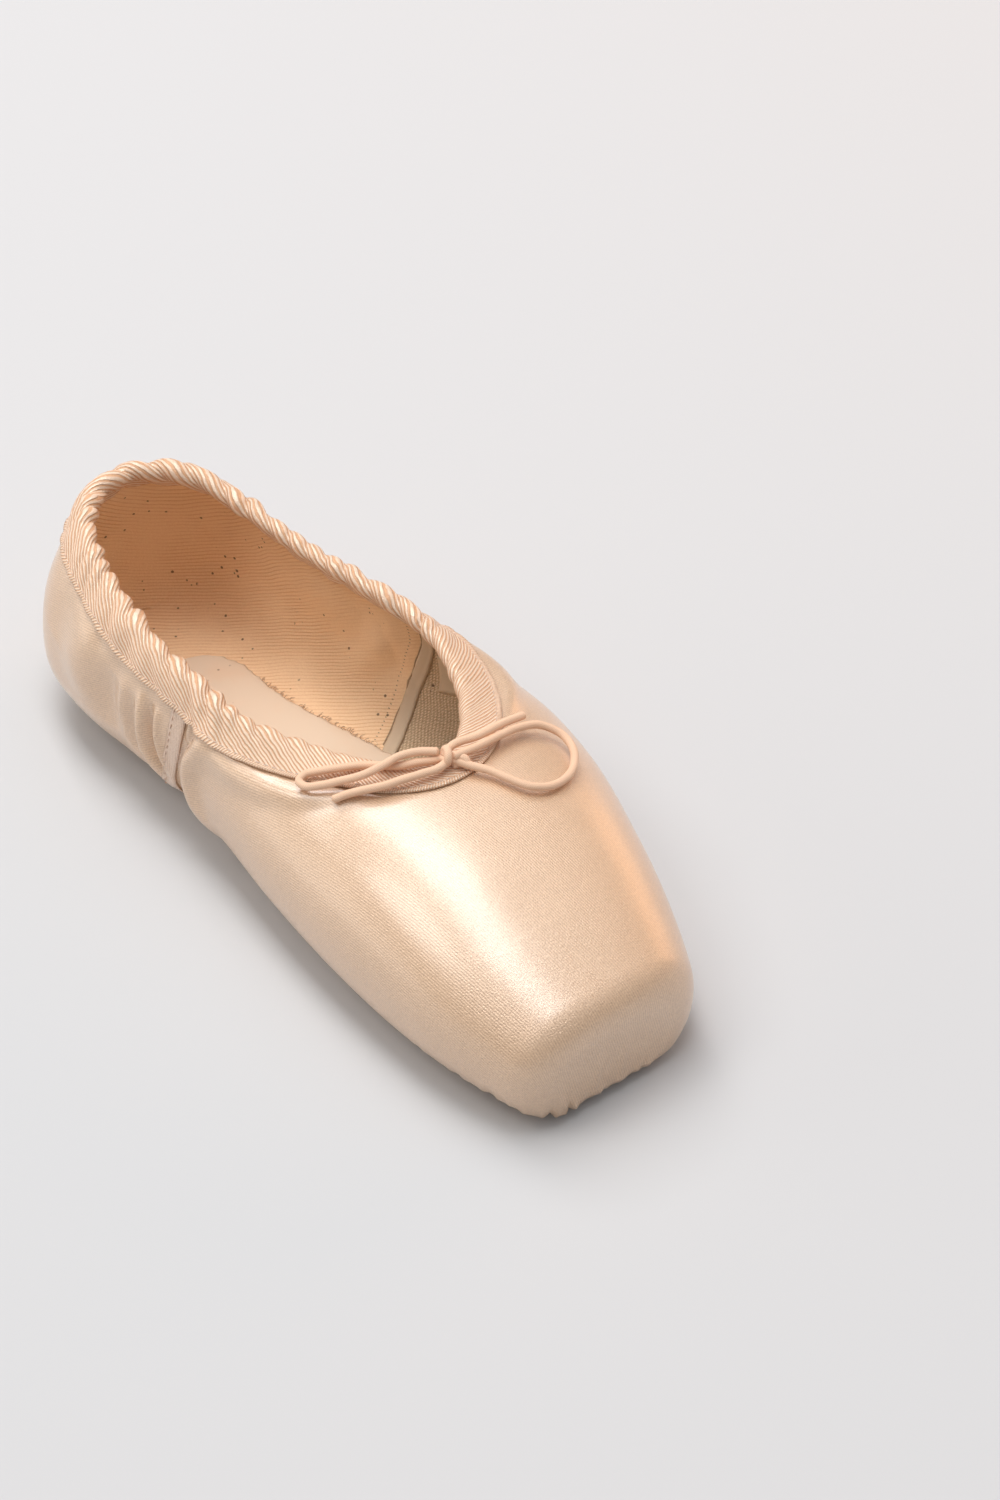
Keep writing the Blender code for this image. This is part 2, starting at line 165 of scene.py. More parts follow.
class Shading:
    """Node tree of one material, built up from expressions."""

    def __init__(self, name: str) -> None:
        """Starts a material with its Principled shader.

        Args:
            name: the material's name.
        """
        self.material = bpy.data.materials.new(name)
        self.material.use_nodes = True
        self.tree = self.material.node_tree
        self.shader = self.tree.nodes["Principled BSDF"]

    def feed(self, socket: bpy.types.NodeSocket, value: object) -> None:
        """Links a field to a socket, or sets the socket to a constant.

        Args:
            socket: the input to fill.
            value: a field or a constant.
        """
        if isinstance(value, Field):
            self.tree.links.new(value.socket, socket)
        else:
            socket.default_value = value

    def node(self, kind: str, settings: dict, values: dict, output: int | str = 0) -> Field:
        """Adds one node.

        Args:
            kind: the node's type.
            settings: properties of the node, set before its sockets.
            values: constants or fields by the name or the index of their input.
            output: which output is the result.

        Returns:
            That output as a field.
        """
        made = self.tree.nodes.new(kind)
        for key, value in settings.items():
            setattr(made, key, value)
        for key, value in values.items():
            self.feed(made.inputs[key], value)
        return Field(self, made.outputs[output])

    def place(self) -> Field:
        """Position on the object, in metres."""
        return self.node("ShaderNodeTexCoord", {}, {}, "Object")

    def cloth(self) -> tuple[Field, Field, Field]:
        """Unwrapped position on the flat cloth.

        Returns:
            The vector, its run along the piece and its run across it, in metres.
        """
        unwrapped = self.node("ShaderNodeTexCoord", {}, {}, "UV")
        split = self.tree.nodes.new("ShaderNodeSeparateXYZ")
        self.feed(split.inputs[0], unwrapped)
        return unwrapped, Field(self, split.outputs[0]), Field(self, split.outputs[1])

    def planes(self, direction: tuple) -> Field:
        """Distance along a direction, in metres, so that a wave of it is a set of even planes."""
        values = {0: self.place(), 1: tuple(Vector(direction).normalized())}
        return self.node("ShaderNodeVectorMath", {"operation": "DOT_PRODUCT"}, values, "Value")

    def noise(self, scale: float, detail: float = 2.0, at: Field | None = None) -> Field:
        """Noise from 0 to 1 with features of about one over the scale, in metres."""
        values = {"Vector": at or self.place(), "Scale": scale, "Detail": detail}
        return self.node("ShaderNodeTexNoise", {}, values)

    def specks(self, scale: float, size: float, seed: float) -> Field:
        """Sparse round specks: 1 inside a speck and 0 elsewhere.

        Args:
            scale: cells per metre.
            size: radius of a speck as a share of its cell.
            seed: shifts the pattern.

        Returns:
            The mask.
        """
        shift = {0: self.place(), 1: (seed, seed, seed)}
        moved = self.node("ShaderNodeVectorMath", {"operation": "ADD"}, shift)
        cells = self.node("ShaderNodeTexVoronoi", {}, {"Vector": moved, "Scale": scale}, "Distance")
        chosen = self.noise(scale * 0.31, 0.0, moved).step(0.56, 0.60)
        return (1 - cells.step(size * 0.6, size)) * chosen

    def mix(self, share: Field | float, first: object, second: object) -> Field:
        """Colour that goes from the first to the second as share goes from 0 to 1."""
        values = {0: share, 6: self.rgba(first), 7: self.rgba(second)}
        return self.node("ShaderNodeMix", {"data_type": "RGBA", "clamp_factor": True}, values, 2)

    @staticmethod
    def rgba(colour: object) -> object:
        """A plain colour with its alpha, or a field as it is."""
        return (*colour, 1.0) if isinstance(colour, tuple) else colour

    def relief(self, height: Field, depth: float, strength: float = 1.0) -> None:
        """Bumps the surface.

        Args:
            height: the field that is raised, from 0 to 1.
            depth: how high 1 stands, in metres.
            strength: share of the bump that is used.
        """
        values = {"Height": height, "Distance": depth, "Strength": strength}
        bump = self.node("ShaderNodeBump", {}, values)
        self.feed(self.shader.inputs["Normal"], bump)

    def dress(self, colour: object, roughness: object, **constants: float) -> bpy.types.Material:
        """Sets the shader's colour, roughness and constant sockets.

        Args:
            colour: a colour or a field.
            roughness: a number or a field.
            constants: values of other sockets, whose names have underscores for spaces.

        Returns:
            The material.
        """
        self.feed(self.shader.inputs["Base Color"], self.rgba(colour))
        self.feed(self.shader.inputs["Roughness"], roughness)
        for key, value in constants.items():
            self.feed(self.shader.inputs[key.replace("_", " ")], value)
        return self.material


@dataclass(frozen=True)
class Satin:
    """Peach satin, glossy along fine slanting lines."""

    base: Colour = (0.84, 0.575, 0.365)
    line: Colour = (0.58, 0.355, 0.205)
    line_pitch: float = 0.66 * MM
    line_slant: tuple = (0.254, 0.967)

    def material(self) -> bpy.types.Material:
        """Makes the finish.

        Returns:
            The material.
        """
        made = Shading("satin")
        _, along, across = made.cloth()
        slanted = along * self.line_slant[0] + across * self.line_slant[1]
        lines = (slanted + made.noise(70.0, 1.0) * 0.0006).wave(self.line_pitch)
        cloudy = made.noise(60.0, 3.0).step(0.35, 0.65)
        grain = made.noise(2300.0, 2.0).step(0.25, 0.75)
        lit = made.mix(lines * 0.50 + grain * 0.58, self.line, self.base)
        made.relief(lines * 0.55 + grain * 0.85, 0.15 * MM, 0.75)
        rough = cloudy * 0.06 + grain * 0.12 + 0.28
        constants = {"Metallic": 0.14, "Coat_Weight": 1.0, "Coat_Roughness": 0.29, "Coat_IOR": 1.9}
        return made.dress(lit, rough, Specular_IOR_Level=1.0, **constants)


@dataclass(frozen=True)
class Tape:
    """Twill tape: glossy raised ribs and a plain woven edge. The rib tops are painted lighter as a painted
    highlight, and the gaps between them darker as painted shade.
    """

    # Rib tops: the tape's colour with a painted highlight.
    rib: Colour = (0.97, 0.75, 0.57)
    # Gaps between the ribs: the tape's colour with painted shade.
    gap: Colour = (0.74, 0.40, 0.21)
    steep: float = 0.86 / (0.95 * MM)
    edge: float = 7.7 * MM

    def material(self) -> bpy.types.Material:
        """Makes the finish. The first run of the unwrapped position counts ribs, and the second is across.

        Returns:
            The material.
        """
        made = Shading("binding_tape")
        _, counted, across = made.cloth()
        wander = made.noise(260.0, 2.0) * 0.7
        twill = (counted - across * self.steep + wander).wave(1.0)
        plain = (counted * 2.4 + across * (self.steep * 0.5)).wave(1.0) * 0.4 + 0.25
        selvedge = across.step(self.edge - 0.2 * MM, self.edge + 0.1 * MM)
        rib = twill * (1 - selvedge) + plain * selvedge
        thread = made.noise(2600.0, 1.0).step(0.3, 0.7)
        high = rib.step(0.12, 0.70)
        # Painted highlight on the rib tops and painted shade in the gaps, over the twill and the thread
        # noise.
        colour = made.mix(high * 0.86 + thread * 0.16, self.gap, self.rib)
        made.relief(high * 0.85 + thread * 0.25, 0.30 * MM, 1.0)
        rough = 0.56 - high * 0.26
        return made.dress(colour, rough, Specular_IOR_Level=0.7, Metallic=0.12)


@dataclass(frozen=True)
class Canvas:
    """Natural cotton lining with ribs and dark flecks, and a greyer cloth in front of the side seams.

    The first run of the unwrapped position is the distance behind the seam, and the second is the distance
    from the crown.
    """

    thread: Colour = (1.0, 0.72, 0.46)
    groove: Colour = (0.74, 0.42, 0.215)
    vamp: Colour = (0.90, 0.71, 0.49)
    vamp_groove: Colour = (0.44, 0.30, 0.18)
    fleck: Colour = (0.09, 0.05, 0.03)
    pitch: float = 0.95 * MM
    rib_planes: tuple = (0.40, 0.54, 0.74)

    def material(self) -> bpy.types.Material:
        """Makes the finish.

        Returns:
            The material.
        """
        made = Shading("canvas_lining")
        _, behind, down = made.cloth()
        wander = made.noise(40.0, 2.0) * 0.0030
        level = made.planes(self.rib_planes)
        ribs = (level + wander).wave(self.pitch).step(0.0, 0.45)
        worn = made.noise(48.0, 3.0).step(0.30, 0.60)
        weave = made.noise(2300.0, 1.0).step(0.25, 0.75)
        shown = 1 - (1 - ribs) * (worn * 0.60 + 0.15)
        cotton = made.mix(shown * 0.72 + weave * 0.20 + 0.06, self.groove, self.thread)
        checks = (level + behind * 0.8).wave(0.95 * MM) * (level * 0.3 - behind).wave(0.9 * MM)
        grey = made.mix(checks * 0.7 + weave * 0.35, self.vamp_groove, self.vamp)
        inside_vamp = 1 - behind.step(-0.3 * MM, 0.1 * MM)
        colour = made.mix(inside_vamp, cotton, grey)
        seam = behind.step(-0.35 * MM, -0.1 * MM) * (1 - behind.step(0.05 * MM, 0.4 * MM))
        row = behind.step(2.5 * MM, 2.8 * MM) * (1 - behind.step(2.9 * MM, 3.2 * MM))
        holes = row * down.wave(1.5 * MM).step(0.80, 0.95)
        flecks = made.specks(300.0, 0.16, 0.37) * 0.8 + made.specks(210.0, 0.10, 1.91) * 0.7
        dark = flecks + seam * 0.7 + holes * 0.7
        colour = made.mix(dark.calc("MINIMUM", 1.0), colour, self.fleck)
        made.relief(shown * 0.8 + weave * 0.3, 0.20 * MM, 0.8)
        return made.dress(colour, 0.88, Specular_IOR_Level=0.25)


@dataclass(frozen=True)
class Sock:
    """Smooth pale cloth, faintly soiled."""

    base: Colour = (0.79, 0.63, 0.475)
    soil: Colour = (0.80, 0.57, 0.39)
    fleck: Colour = (0.20, 0.11, 0.07)

    def material(self) -> bpy.types.Material:
        """Makes the finish.

        Returns:
            The material.
        """
        made = Shading("sock_lining")
        soil = made.noise(70.0, 4.0).step(0.45, 0.75)
        weave = made.noise(2800.0, 1.0)
        colour = made.mix(soil * 0.45 + weave * 0.15, self.base, self.soil)
        flecks = made.specks(230.0, 0.12, 4.2) * 0.6 + made.specks(150.0, 0.06, 7.7) * 0.7
        colour = made.mix(flecks, colour, self.fleck)
        made.relief(weave * 0.6 + soil * 0.4, 0.06 * MM, 0.5)
        return made.dress(colour, 0.8, Specular_IOR_Level=0.3)


@dataclass(frozen=True)
class SoleLeather:
    """Brown split leather with a scraped nap."""

    base: Colour = (0.235, 0.135, 0.078)
    worn: Colour = (0.36, 0.225, 0.135)

    def material(self) -> bpy.types.Material:
        """Makes the finish.

        Returns:
            The material.
        """
        made = Shading("sole_leather")
        nap = made.noise(900.0, 5.0)
        scuffs = made.noise(38.0, 5.0).step(0.48, 0.72)
        colour = made.mix(nap * 0.45 + scuffs * 0.45, self.base, self.worn)
        made.relief(nap + scuffs * 0.3, 0.16 * MM, 0.7)
        return made.dress(colour, nap * 0.15 + 0.75, Specular_IOR_Level=0.3)


@dataclass(frozen=True)
class Elastic:
    """Cloth-covered elastic cord with a fine slanting braid."""

    base: Colour = (0.93, 0.645, 0.455)
    groove: Colour = (0.72, 0.44, 0.28)
    pitch: float = 0.42 * MM

    def material(self) -> bpy.types.Material:
        """Makes the finish.

        Returns:
            The material.
        """
        made = Shading("elastic_cord")
        _, along, across = made.cloth()
        one = (along + across * 0.5).wave(self.pitch)
        other = (along - across * 0.5).wave(self.pitch)
        fuzz = made.noise(3000.0, 1.0)
        braid = one.calc("MAXIMUM", other)
        colour = made.mix(braid * 0.7 + fuzz * 0.3, self.groove, self.base)
        made.relief(braid * 0.7 + fuzz * 0.4, 0.08 * MM, 0.6)
        return made.dress(colour, 0.78, Specular_IOR_Level=0.3, Sheen_Weight=0.1)


@dataclass(frozen=True)
class Thread:
    """Sewing thread of one colour."""

    name: str = "pink_thread"
    base: Colour = (0.84, 0.62, 0.49)
    shade: float = 0.72

    def material(self) -> bpy.types.Material:
        """Makes the finish.

        Returns:
            The material.
        """
        made = Shading(self.name)
        twist = made.noise(2500.0, 1.0)
        dark = tuple(self.shade * part for part in self.base)
        return made.dress(made.mix(twist, dark, self.base), 0.55, Specular_IOR_Level=0.4)


SEAM_TAPE = Satin(base=(0.86, 0.62, 0.46))
SEAM_FACING = Sock(base=(0.66, 0.52, 0.37), soil=(0.48, 0.36, 0.24))
FRAYED = Thread("brown_thread", (0.70, 0.46, 0.29))


@dataclass(frozen=True)
class Last:
    """Form that the shoe is pulled over, as cross-sections along its length."""

    length: float = 0.232
    ball_width: float = 0.094
    throat_height: float = 0.048
    heel_height: float = 0.057
    throat_share: float = 0.36
    platform_edge: float = 0.008
    throat_reach: float = 0.054
    heel_round: float = 0.033
    collar_round: float = 0.025
    heel_lean: float = 0.011
    heel_tuck: float = 0.005
    power: float = 2.45
    wall: float = 0.0016
    box_wall: float = 0.003
    sole: float = 0.0022
    gap: float = 0.0003
    margin: float = 0.009
    toe_tuck: float = 0.0017
    sock_thick: float = 0.0016
    sock_from: float = 0.085
    sock_to: float = 0.855
    sock_clearance: float = 0.003

    # Columns: share, half / half ball, belly / throat height, foot / half ball, near-side slack / half ball
    sections: tuple = (
        (0.00, 0.570, 0.300, 0.340, 0.000),
        (0.05, 0.680, 0.310, 0.410, 0.000),
        (0.12, 0.800, 0.330, 0.500, 0.000),
        (0.22, 0.910, 0.350, 0.600, 0.000),
        (0.33, 0.990, 0.380, 0.640, 0.000),
        (0.43, 1.000, 0.410, 0.590, 0.000),
        (0.52, 0.930, 0.430, 0.490, 0.000),
        (0.62, 0.815, 0.455, 0.400, 0.020),
        (0.72, 0.735, 0.455, 0.360, 0.080),
        (0.84, 0.690, 0.455, 0.380, 0.125),
        (0.93, 0.660, 0.455, 0.390, 0.090),
        (1.00, 0.640, 0.455, 0.385, 0.000),
    )
    # Columns: share, crown / throat height
    crown: tuple = ((0.00, 0.640), (0.05, 0.730), (0.12, 0.845), (0.21, 0.955), (0.28, 0.995), (0.36, 0.995))
    # Columns: share, half opening / half ball, height / heel height
    collar: tuple = (
        (0.36, 0.553, 0.838),
        (0.41, 0.575, 0.831),
        (0.47, 0.620, 0.818),
        (0.55, 0.670, 0.832),
        (0.65, 0.640, 0.868),
        (0.75, 0.585, 0.895),
        (0.85, 0.500, 0.947),
        (0.93, 0.420, 0.990),
        (1.00, 0.383, 1.000),
    )
    # Columns: share, sideways set of the centre line, lift of the sole line
    line: tuple = (
        (0.00, -0.0086, 0.0006),
        (0.12, -0.0064, 0.0000),
        (0.20, -0.0044, 0.0000),
        (0.42, 0.0002, 0.0000),
        (0.60, -0.0036, 0.0022),
        (0.74, -0.0081, 0.0012),
        (0.82, -0.0086, 0.0000),
        (1.00, -0.0086, 0.0000),
    )

    @staticmethod
    def blend(table: tuple, column: int, at: np.ndarray) -> np.ndarray:
        """Smooth curve through one column of a table.

        Args:
            table: rows that start with their share.
            column: which column to follow.
            at: shares along the length.

        Returns:
            The column's values there.
        """
        rows = np.array(table)
        shares, values = rows[:, 0], rows[:, column]
        at = np.clip(np.asarray(at, float), shares[0], shares[-1])
        i = np.clip(np.searchsorted(shares, at) - 1, 0, len(shares) - 2)
        step = np.diff(shares)
        slope = np.diff(values) / step
        inner = (slope[:-1] * step[1:] + slope[1:] * step[:-1]) / (step[:-1] + step[1:])
        tangent = np.concatenate([slope[:1], inner, slope[-1:]])
        t = (at - shares[i]) / step[i]
        start = (2 * t**3 - 3 * t**2 + 1) * values[i] + (t**3 - 2 * t**2 + t) * step[i] * tangent[i]
        end = (3 * t**2 - 2 * t**3) * values[i + 1] + (t**3 - t**2) * step[i] * tangent[i + 1]
        return start + end

    @staticmethod
    def rounded(distance: np.ndarray, radius: float, power: float = 2.0) -> np.ndarray:
        """Rises from 0 at an end to 1 one radius away from it."""
        t = np.clip(np.asarray(distance, float) / radius, 0.0, 1.0)
        return (1 - (1 - t) ** power) ** (1 / power)

    def centre(self, share: np.ndarray) -> np.ndarray:
        """Sideways place of the centre line."""
        return self.blend(self.line, 1, share)

    def lift(self, share: np.ndarray) -> np.ndarray:
        """Height of the sole line."""
        return np.maximum(self.blend(self.line, 2, share), 0.0)

    def reach(self, share: np.ndarray) -> np.ndarray:
        """Half width of the collar's opening, 0 in front of the throat.

        Args:
            share: shares along the length.

        Returns:
            Half widths in metres.
        """
        half = self.blend(self.collar, 1, share) * self.ball_width / 2
        half = half * self.rounded((share - self.throat_share) * self.length, self.throat_reach)
        half = half * self.rounded((1 - share) * self.length, self.collar_round)
        return np.where(share <= self.throat_share, 0.0, half)

    def opening_under(self, share: np.ndarray) -> np.ndarray:
        """Half width of the opening under the upper, which the sole closes.

        Args:
            share: shares along the length.

        Returns:
            Half widths in metres.
        """
        foot = self.blend(self.sections, 3, share) * self.ball_width / 2
        front = self.rounded((share - 0.09) * self.length, 0.025)
        return (foot - self.margin) * front * self.rounded((0.84 - share) * self.length, 0.018)

    def profile(self, share: np.ndarray, side: int, rows: int, under: int) -> tuple[np.ndarray, np.ndarray]:
        """Cross-sections of one side, evenly spaced up the wall.

        Args:
            share: shares along the length, one for each section.
            side: 1 for the far side and -1 for the near side.
            rows: points up the wall, from the sole's edge to the collar or the crown.
            under: points along the margin under the sole's edge.

        Returns:
            Points by section and row, and each section's girth from the sole's edge up.
        """
        half_ball = self.ball_width / 2
        heel = self.rounded((1 - share) * self.length, self.heel_round, 2.3)
        inset = self.platform_edge * (1 - self.rounded(share * self.length, self.platform_edge, 2.3))
        slack = self.blend(self.sections, 4, share) if side < 0 else 0.0
        wide = ((self.blend(self.sections, 1, share) + slack) * half_ball - inset) * heel
        foot = (self.blend(self.sections, 3, share) * half_ball - 0.5 * inset) * heel
        belly = self.blend(self.sections, 2, share) * self.throat_height
        t = np.clip((0.048 - share) / 0.036, 0, 1)
        low = self.sole + self.gap + self.lift(share) + 0.4 * inset - self.toe_tuck * t * t * (3 - 2 * t)
        closed = share <= self.throat_share
        top = self.blend(self.crown, 1, share) * self.throat_height - inset
        top = np.where(closed, top, self.blend(self.collar, 2, share) * self.heel_height)
        reach = np.minimum(self.reach(share), 0.98 * wide)
        solid = wide > 1e-6
        ratio = np.where(solid, reach / np.where(solid, wide, 1.0), 0.5)
        turn = np.arccos(ratio ** (self.power / 2))[:, None]
        low_angle = np.linspace(0, math.pi / 2, 41)[None, :-1]
        high = turn * np.linspace(0, 1, 141)[None, :] ** 1.15
        column = [value[:, None] for value in (wide, foot, belly, low, top)]
        wide_, foot_, belly_, low_, top_ = column
        x = np.hstack(
            [
                foot_ + (wide_ - foot_) * np.sin(low_angle),
                wide_ * np.maximum(np.cos(high), 0.0) ** (2 / self.power),
            ]
        )
        z = np.hstack(
            [
                low_ + (belly_ - low_) * (1 - np.cos(low_angle)),
                belly_ + (top_ - belly_) * (np.sin(high) / np.sin(turn)) ** (2 / self.power),
            ]
        )
        run = np.hstack([np.zeros((len(share), 1)), np.cumsum(np.hypot(np.diff(x), np.diff(z)), axis=1)])
        even = np.linspace(0, 1, rows)
        wall = np.array(
            [
                [np.interp(even * r[-1], r, a), np.interp(even * r[-1], r, b)]
                for r, a, b in zip(run, x, z)
            ]
        )
        inner = self.opening_under(share)[:, None]
        margin = inner + (foot[:, None] - inner) * np.linspace(0, 1, under + 1)[None, :-1]
        x = np.hstack([margin, wall[:, 0]])
        z = np.hstack([np.broadcast_to(low_, margin.shape), wall[:, 1]])
        back = (np.clip((share - 0.70) / 0.30, 0, 1) ** 1.5)[:, None]
        lean = self.heel_lean * np.maximum((z - 0.024) / 0.038, 0.0) ** 2
        tuck = self.heel_tuck * np.maximum((0.020 - z) / 0.018, 0.0) ** 2
        y = (share[:, None] - 0.5) * self.length - back * (lean + tuck)
        return np.stack([side * x + self.centre(share)[:, None], y, z], axis=2), run[:, -1]

    def stations(self, fine: float) -> np.ndarray:
        """Shares along the length, close together at the platform, at the side seams and round the heel.

        Args:
            fine: 1 for the satin's spacing, and less for fewer sections.

        Returns:
            The shares.
        """
        edge = self.platform_edge / self.length
        heel = 1 - self.heel_round / self.length
        toe = edge * (1 - np.cos(np.linspace(0, math.pi / 2, int(13 * fine) + 2)))
        front = np.linspace(edge, self.throat_share, int(72 * fine) + 2)[1:]
        throat = np.linspace(0, 1, int(36 * fine) + 2)[1:] ** 1.5
        throat = self.throat_share + (0.55 - self.throat_share) * throat
        seam = np.linspace(0.55, 0.70, int(48 * fine) + 2)[1:]
        rear = np.linspace(0.70, heel, int(22 * fine) + 2)[1:]
        back = 1 - (1 - heel) * (1 - np.cos(np.linspace(math.pi / 2, 0, int(24 * fine) + 2)))[1:]
        return np.concatenate([toe, front, throat, seam, rear, back])

    def thickness(self, share: np.ndarray, height: np.ndarray) -> np.ndarray:
        """Wall at a share and a height: full in the box, thin at the quarters and the collar.

        Args:
            share: shares along the length.
            height: heights over the floor.

        Returns:
            Thicknesses in metres.
        """
        along = np.clip((0.34 - share) / 0.12, 0, 1)
        high = np.clip((height - 0.004) / 0.010, 0, 1)
        return self.wall + (self.box_wall - self.wall) * along * high


@dataclass(frozen=True)
class Crease:
    """Soft trough or ridge along a line on the wall.

    The line's points are (share, rise). The width is the distance over which it fades, and a height below 0
    is a trough. Both are in millimetres.
    """

    side: Side
    points: tuple
    width: float
    height: float

    def push(
        self, side: np.ndarray, share: np.ndarray, rise: np.ndarray, girth: np.ndarray, length: float
    ) -> np.ndarray:
        """How far each point moves outward.

        Args:
            side: side of each point.
            share: share of each point.
            rise: rise of each point.
            girth: girth of the section at each point, in metres.
            length: the shoe's length, in metres.

        Returns:
            Distances in metres.
        """
        best = np.full(share.shape, np.inf)
        along = np.zeros(share.shape)
        steps = len(self.points) - 1
        for k, ((s0, r0), (s1, r1)) in enumerate(zip(self.points, self.points[1:])):
            ax, ay = (share - s0) * length, (rise - r0) * girth
            bx, by = (s1 - s0) * length, (r1 - r0) * girth
            t = np.clip((ax * bx + ay * by) / np.maximum(bx * bx + by * by, 1e-12), 0, 1)
            away = np.hypot(ax - t * bx, ay - t * by)
            nearer = away < best
            best = np.where(nearer, away, best)
            along = np.where(nearer, (k + t) / steps, along)
        fade = np.sin(np.clip(along * 0.86 + 0.07, 0, 1) * math.pi) ** 0.6
        shape = np.exp(-((best / (self.width * MM)) ** 2)) * fade
        if self.side is not Side.BOTH:
            shape = np.where(side * self.side.value > 0, shape, 0.0)
        return shape * self.height * MM


# Seam between the vamp and the quarter, and the line that the facing follows inside, as (share, rise).
SEAM = (
    (0.613, 0.97), (0.613, 0.81), (0.611, 0.74), (0.613, 0.65),
    (0.620, 0.53), (0.622, 0.30), (0.622, 0.02),
)
FACING = (
    (0.598, 1.0), (0.600, 0.86), (0.603, 0.67), (0.611, 0.55),
    (0.617, 0.39), (0.605, 0.20), (0.588, 0.06), (0.568, -0.1),
)

CREASES = (
    Crease(Side.BOTH, SEAM, 0.9, -0.5),
    Crease(
        Side.NEAR,
        ((0.572, 0.86), (0.580, 0.76), (0.590, 0.68), (0.590, 0.58), (0.578, 0.47), (0.556, 0.36)),
        width=3.4,
        height=3.0,
    ),
    Crease(
        Side.NEAR,
        ((0.596, 0.84), (0.603, 0.72), (0.610, 0.62), (0.607, 0.53), (0.594, 0.42), (0.575, 0.33)),
        width=1.3,
        height=-2.2,
    ),
    Crease(Side.NEAR, ((0.606, 0.86), (0.603, 0.77), (0.596, 0.71)), 1.0, 0.9),
    Crease(Side.NEAR, ((0.690, 0.76), (0.684, 0.66), (0.677, 0.55), (0.661, 0.48), (0.640, 0.41)), 2.3, 2.5),
    Crease(Side.NEAR, ((0.673, 0.76), (0.668, 0.65), (0.657, 0.55), (0.640, 0.46)), 1.6, -2.3),
    Crease(Side.NEAR, ((0.661, 0.76), (0.655, 0.64), (0.643, 0.54), (0.631, 0.45)), 1.5, 1.8),
    Crease(Side.NEAR, ((0.706, 0.72), (0.703, 0.60), (0.694, 0.50), (0.678, 0.42)), 2.8, -2.3),
    Crease(Side.NEAR, ((0.742, 0.76), (0.748, 0.62), (0.738, 0.46)), 6.0, -2.3),
    Crease(Side.NEAR, ((0.725, 0.80), (0.722, 0.66), (0.716, 0.52)), 3.0, 1.6),
    Crease(Side.NEAR, ((0.800, 0.84), (0.806, 0.66), (0.795, 0.50)), 7.0, 1.5),
    Crease(Side.NEAR, ((0.865, 0.84), (0.872, 0.60)), 6.5, -1.5),
    Crease(
        Side.BOTH,
        ((0.572, 0.825), (0.545, 0.815), (0.513, 0.80), (0.469, 0.785), (0.430, 0.785), (0.390, 0.82)),
        width=4.0,
        height=2.2,
    ),
    Crease(Side.FAR, ((0.636, 0.82), (0.648, 0.62), (0.668, 0.44), (0.690, 0.30)), 5.0, -2.0),
    Crease(Side.FAR, ((0.690, 0.80), (0.684, 0.60), (0.700, 0.42)), 3.4, 0.9),
    Crease(Side.FAR, ((0.655, 0.78), (0.646, 0.60), (0.634, 0.44)), 2.4, 0.9),
    Crease(Side.FAR, ((0.590, 0.84), (0.594, 0.66), (0.580, 0.46)), 4.0, 1.1),
    Crease(Side.FAR, ((0.740, 0.78), (0.745, 0.55)), 6.0, -1.1),
)

# Notches where the satin is tucked under the toe, in millimetres: x, y, half width, depth, height.
TUCKS = (
    (-41.0, -79.0, 0.9, 1.0, 10.5),
    (-38.5, -91.0, 0.9, 1.5, 11.0),
    (-36.8, -101.5, 0.9, 1.8, 11.0),
    (-33.5, -107.0, 0.8, 1.2, 9.5),
    (-27.5, -112.8, 0.8, 1.7, 7.0),
    (-22.5, -114.9, 0.7, 1.1, 5.0),
    (-12.0, -116.0, 0.7, 0.3, 4.0),
    (0.5, -115.8, 0.8, 0.4, 4.0),
    (12.0, -113.5, 0.8, 0.4, 4.0),
    (19.0, -107.0, 0.9, 0.5, 4.0),
    (26.0, -96.0, 0.9, 0.5, 4.0),
)


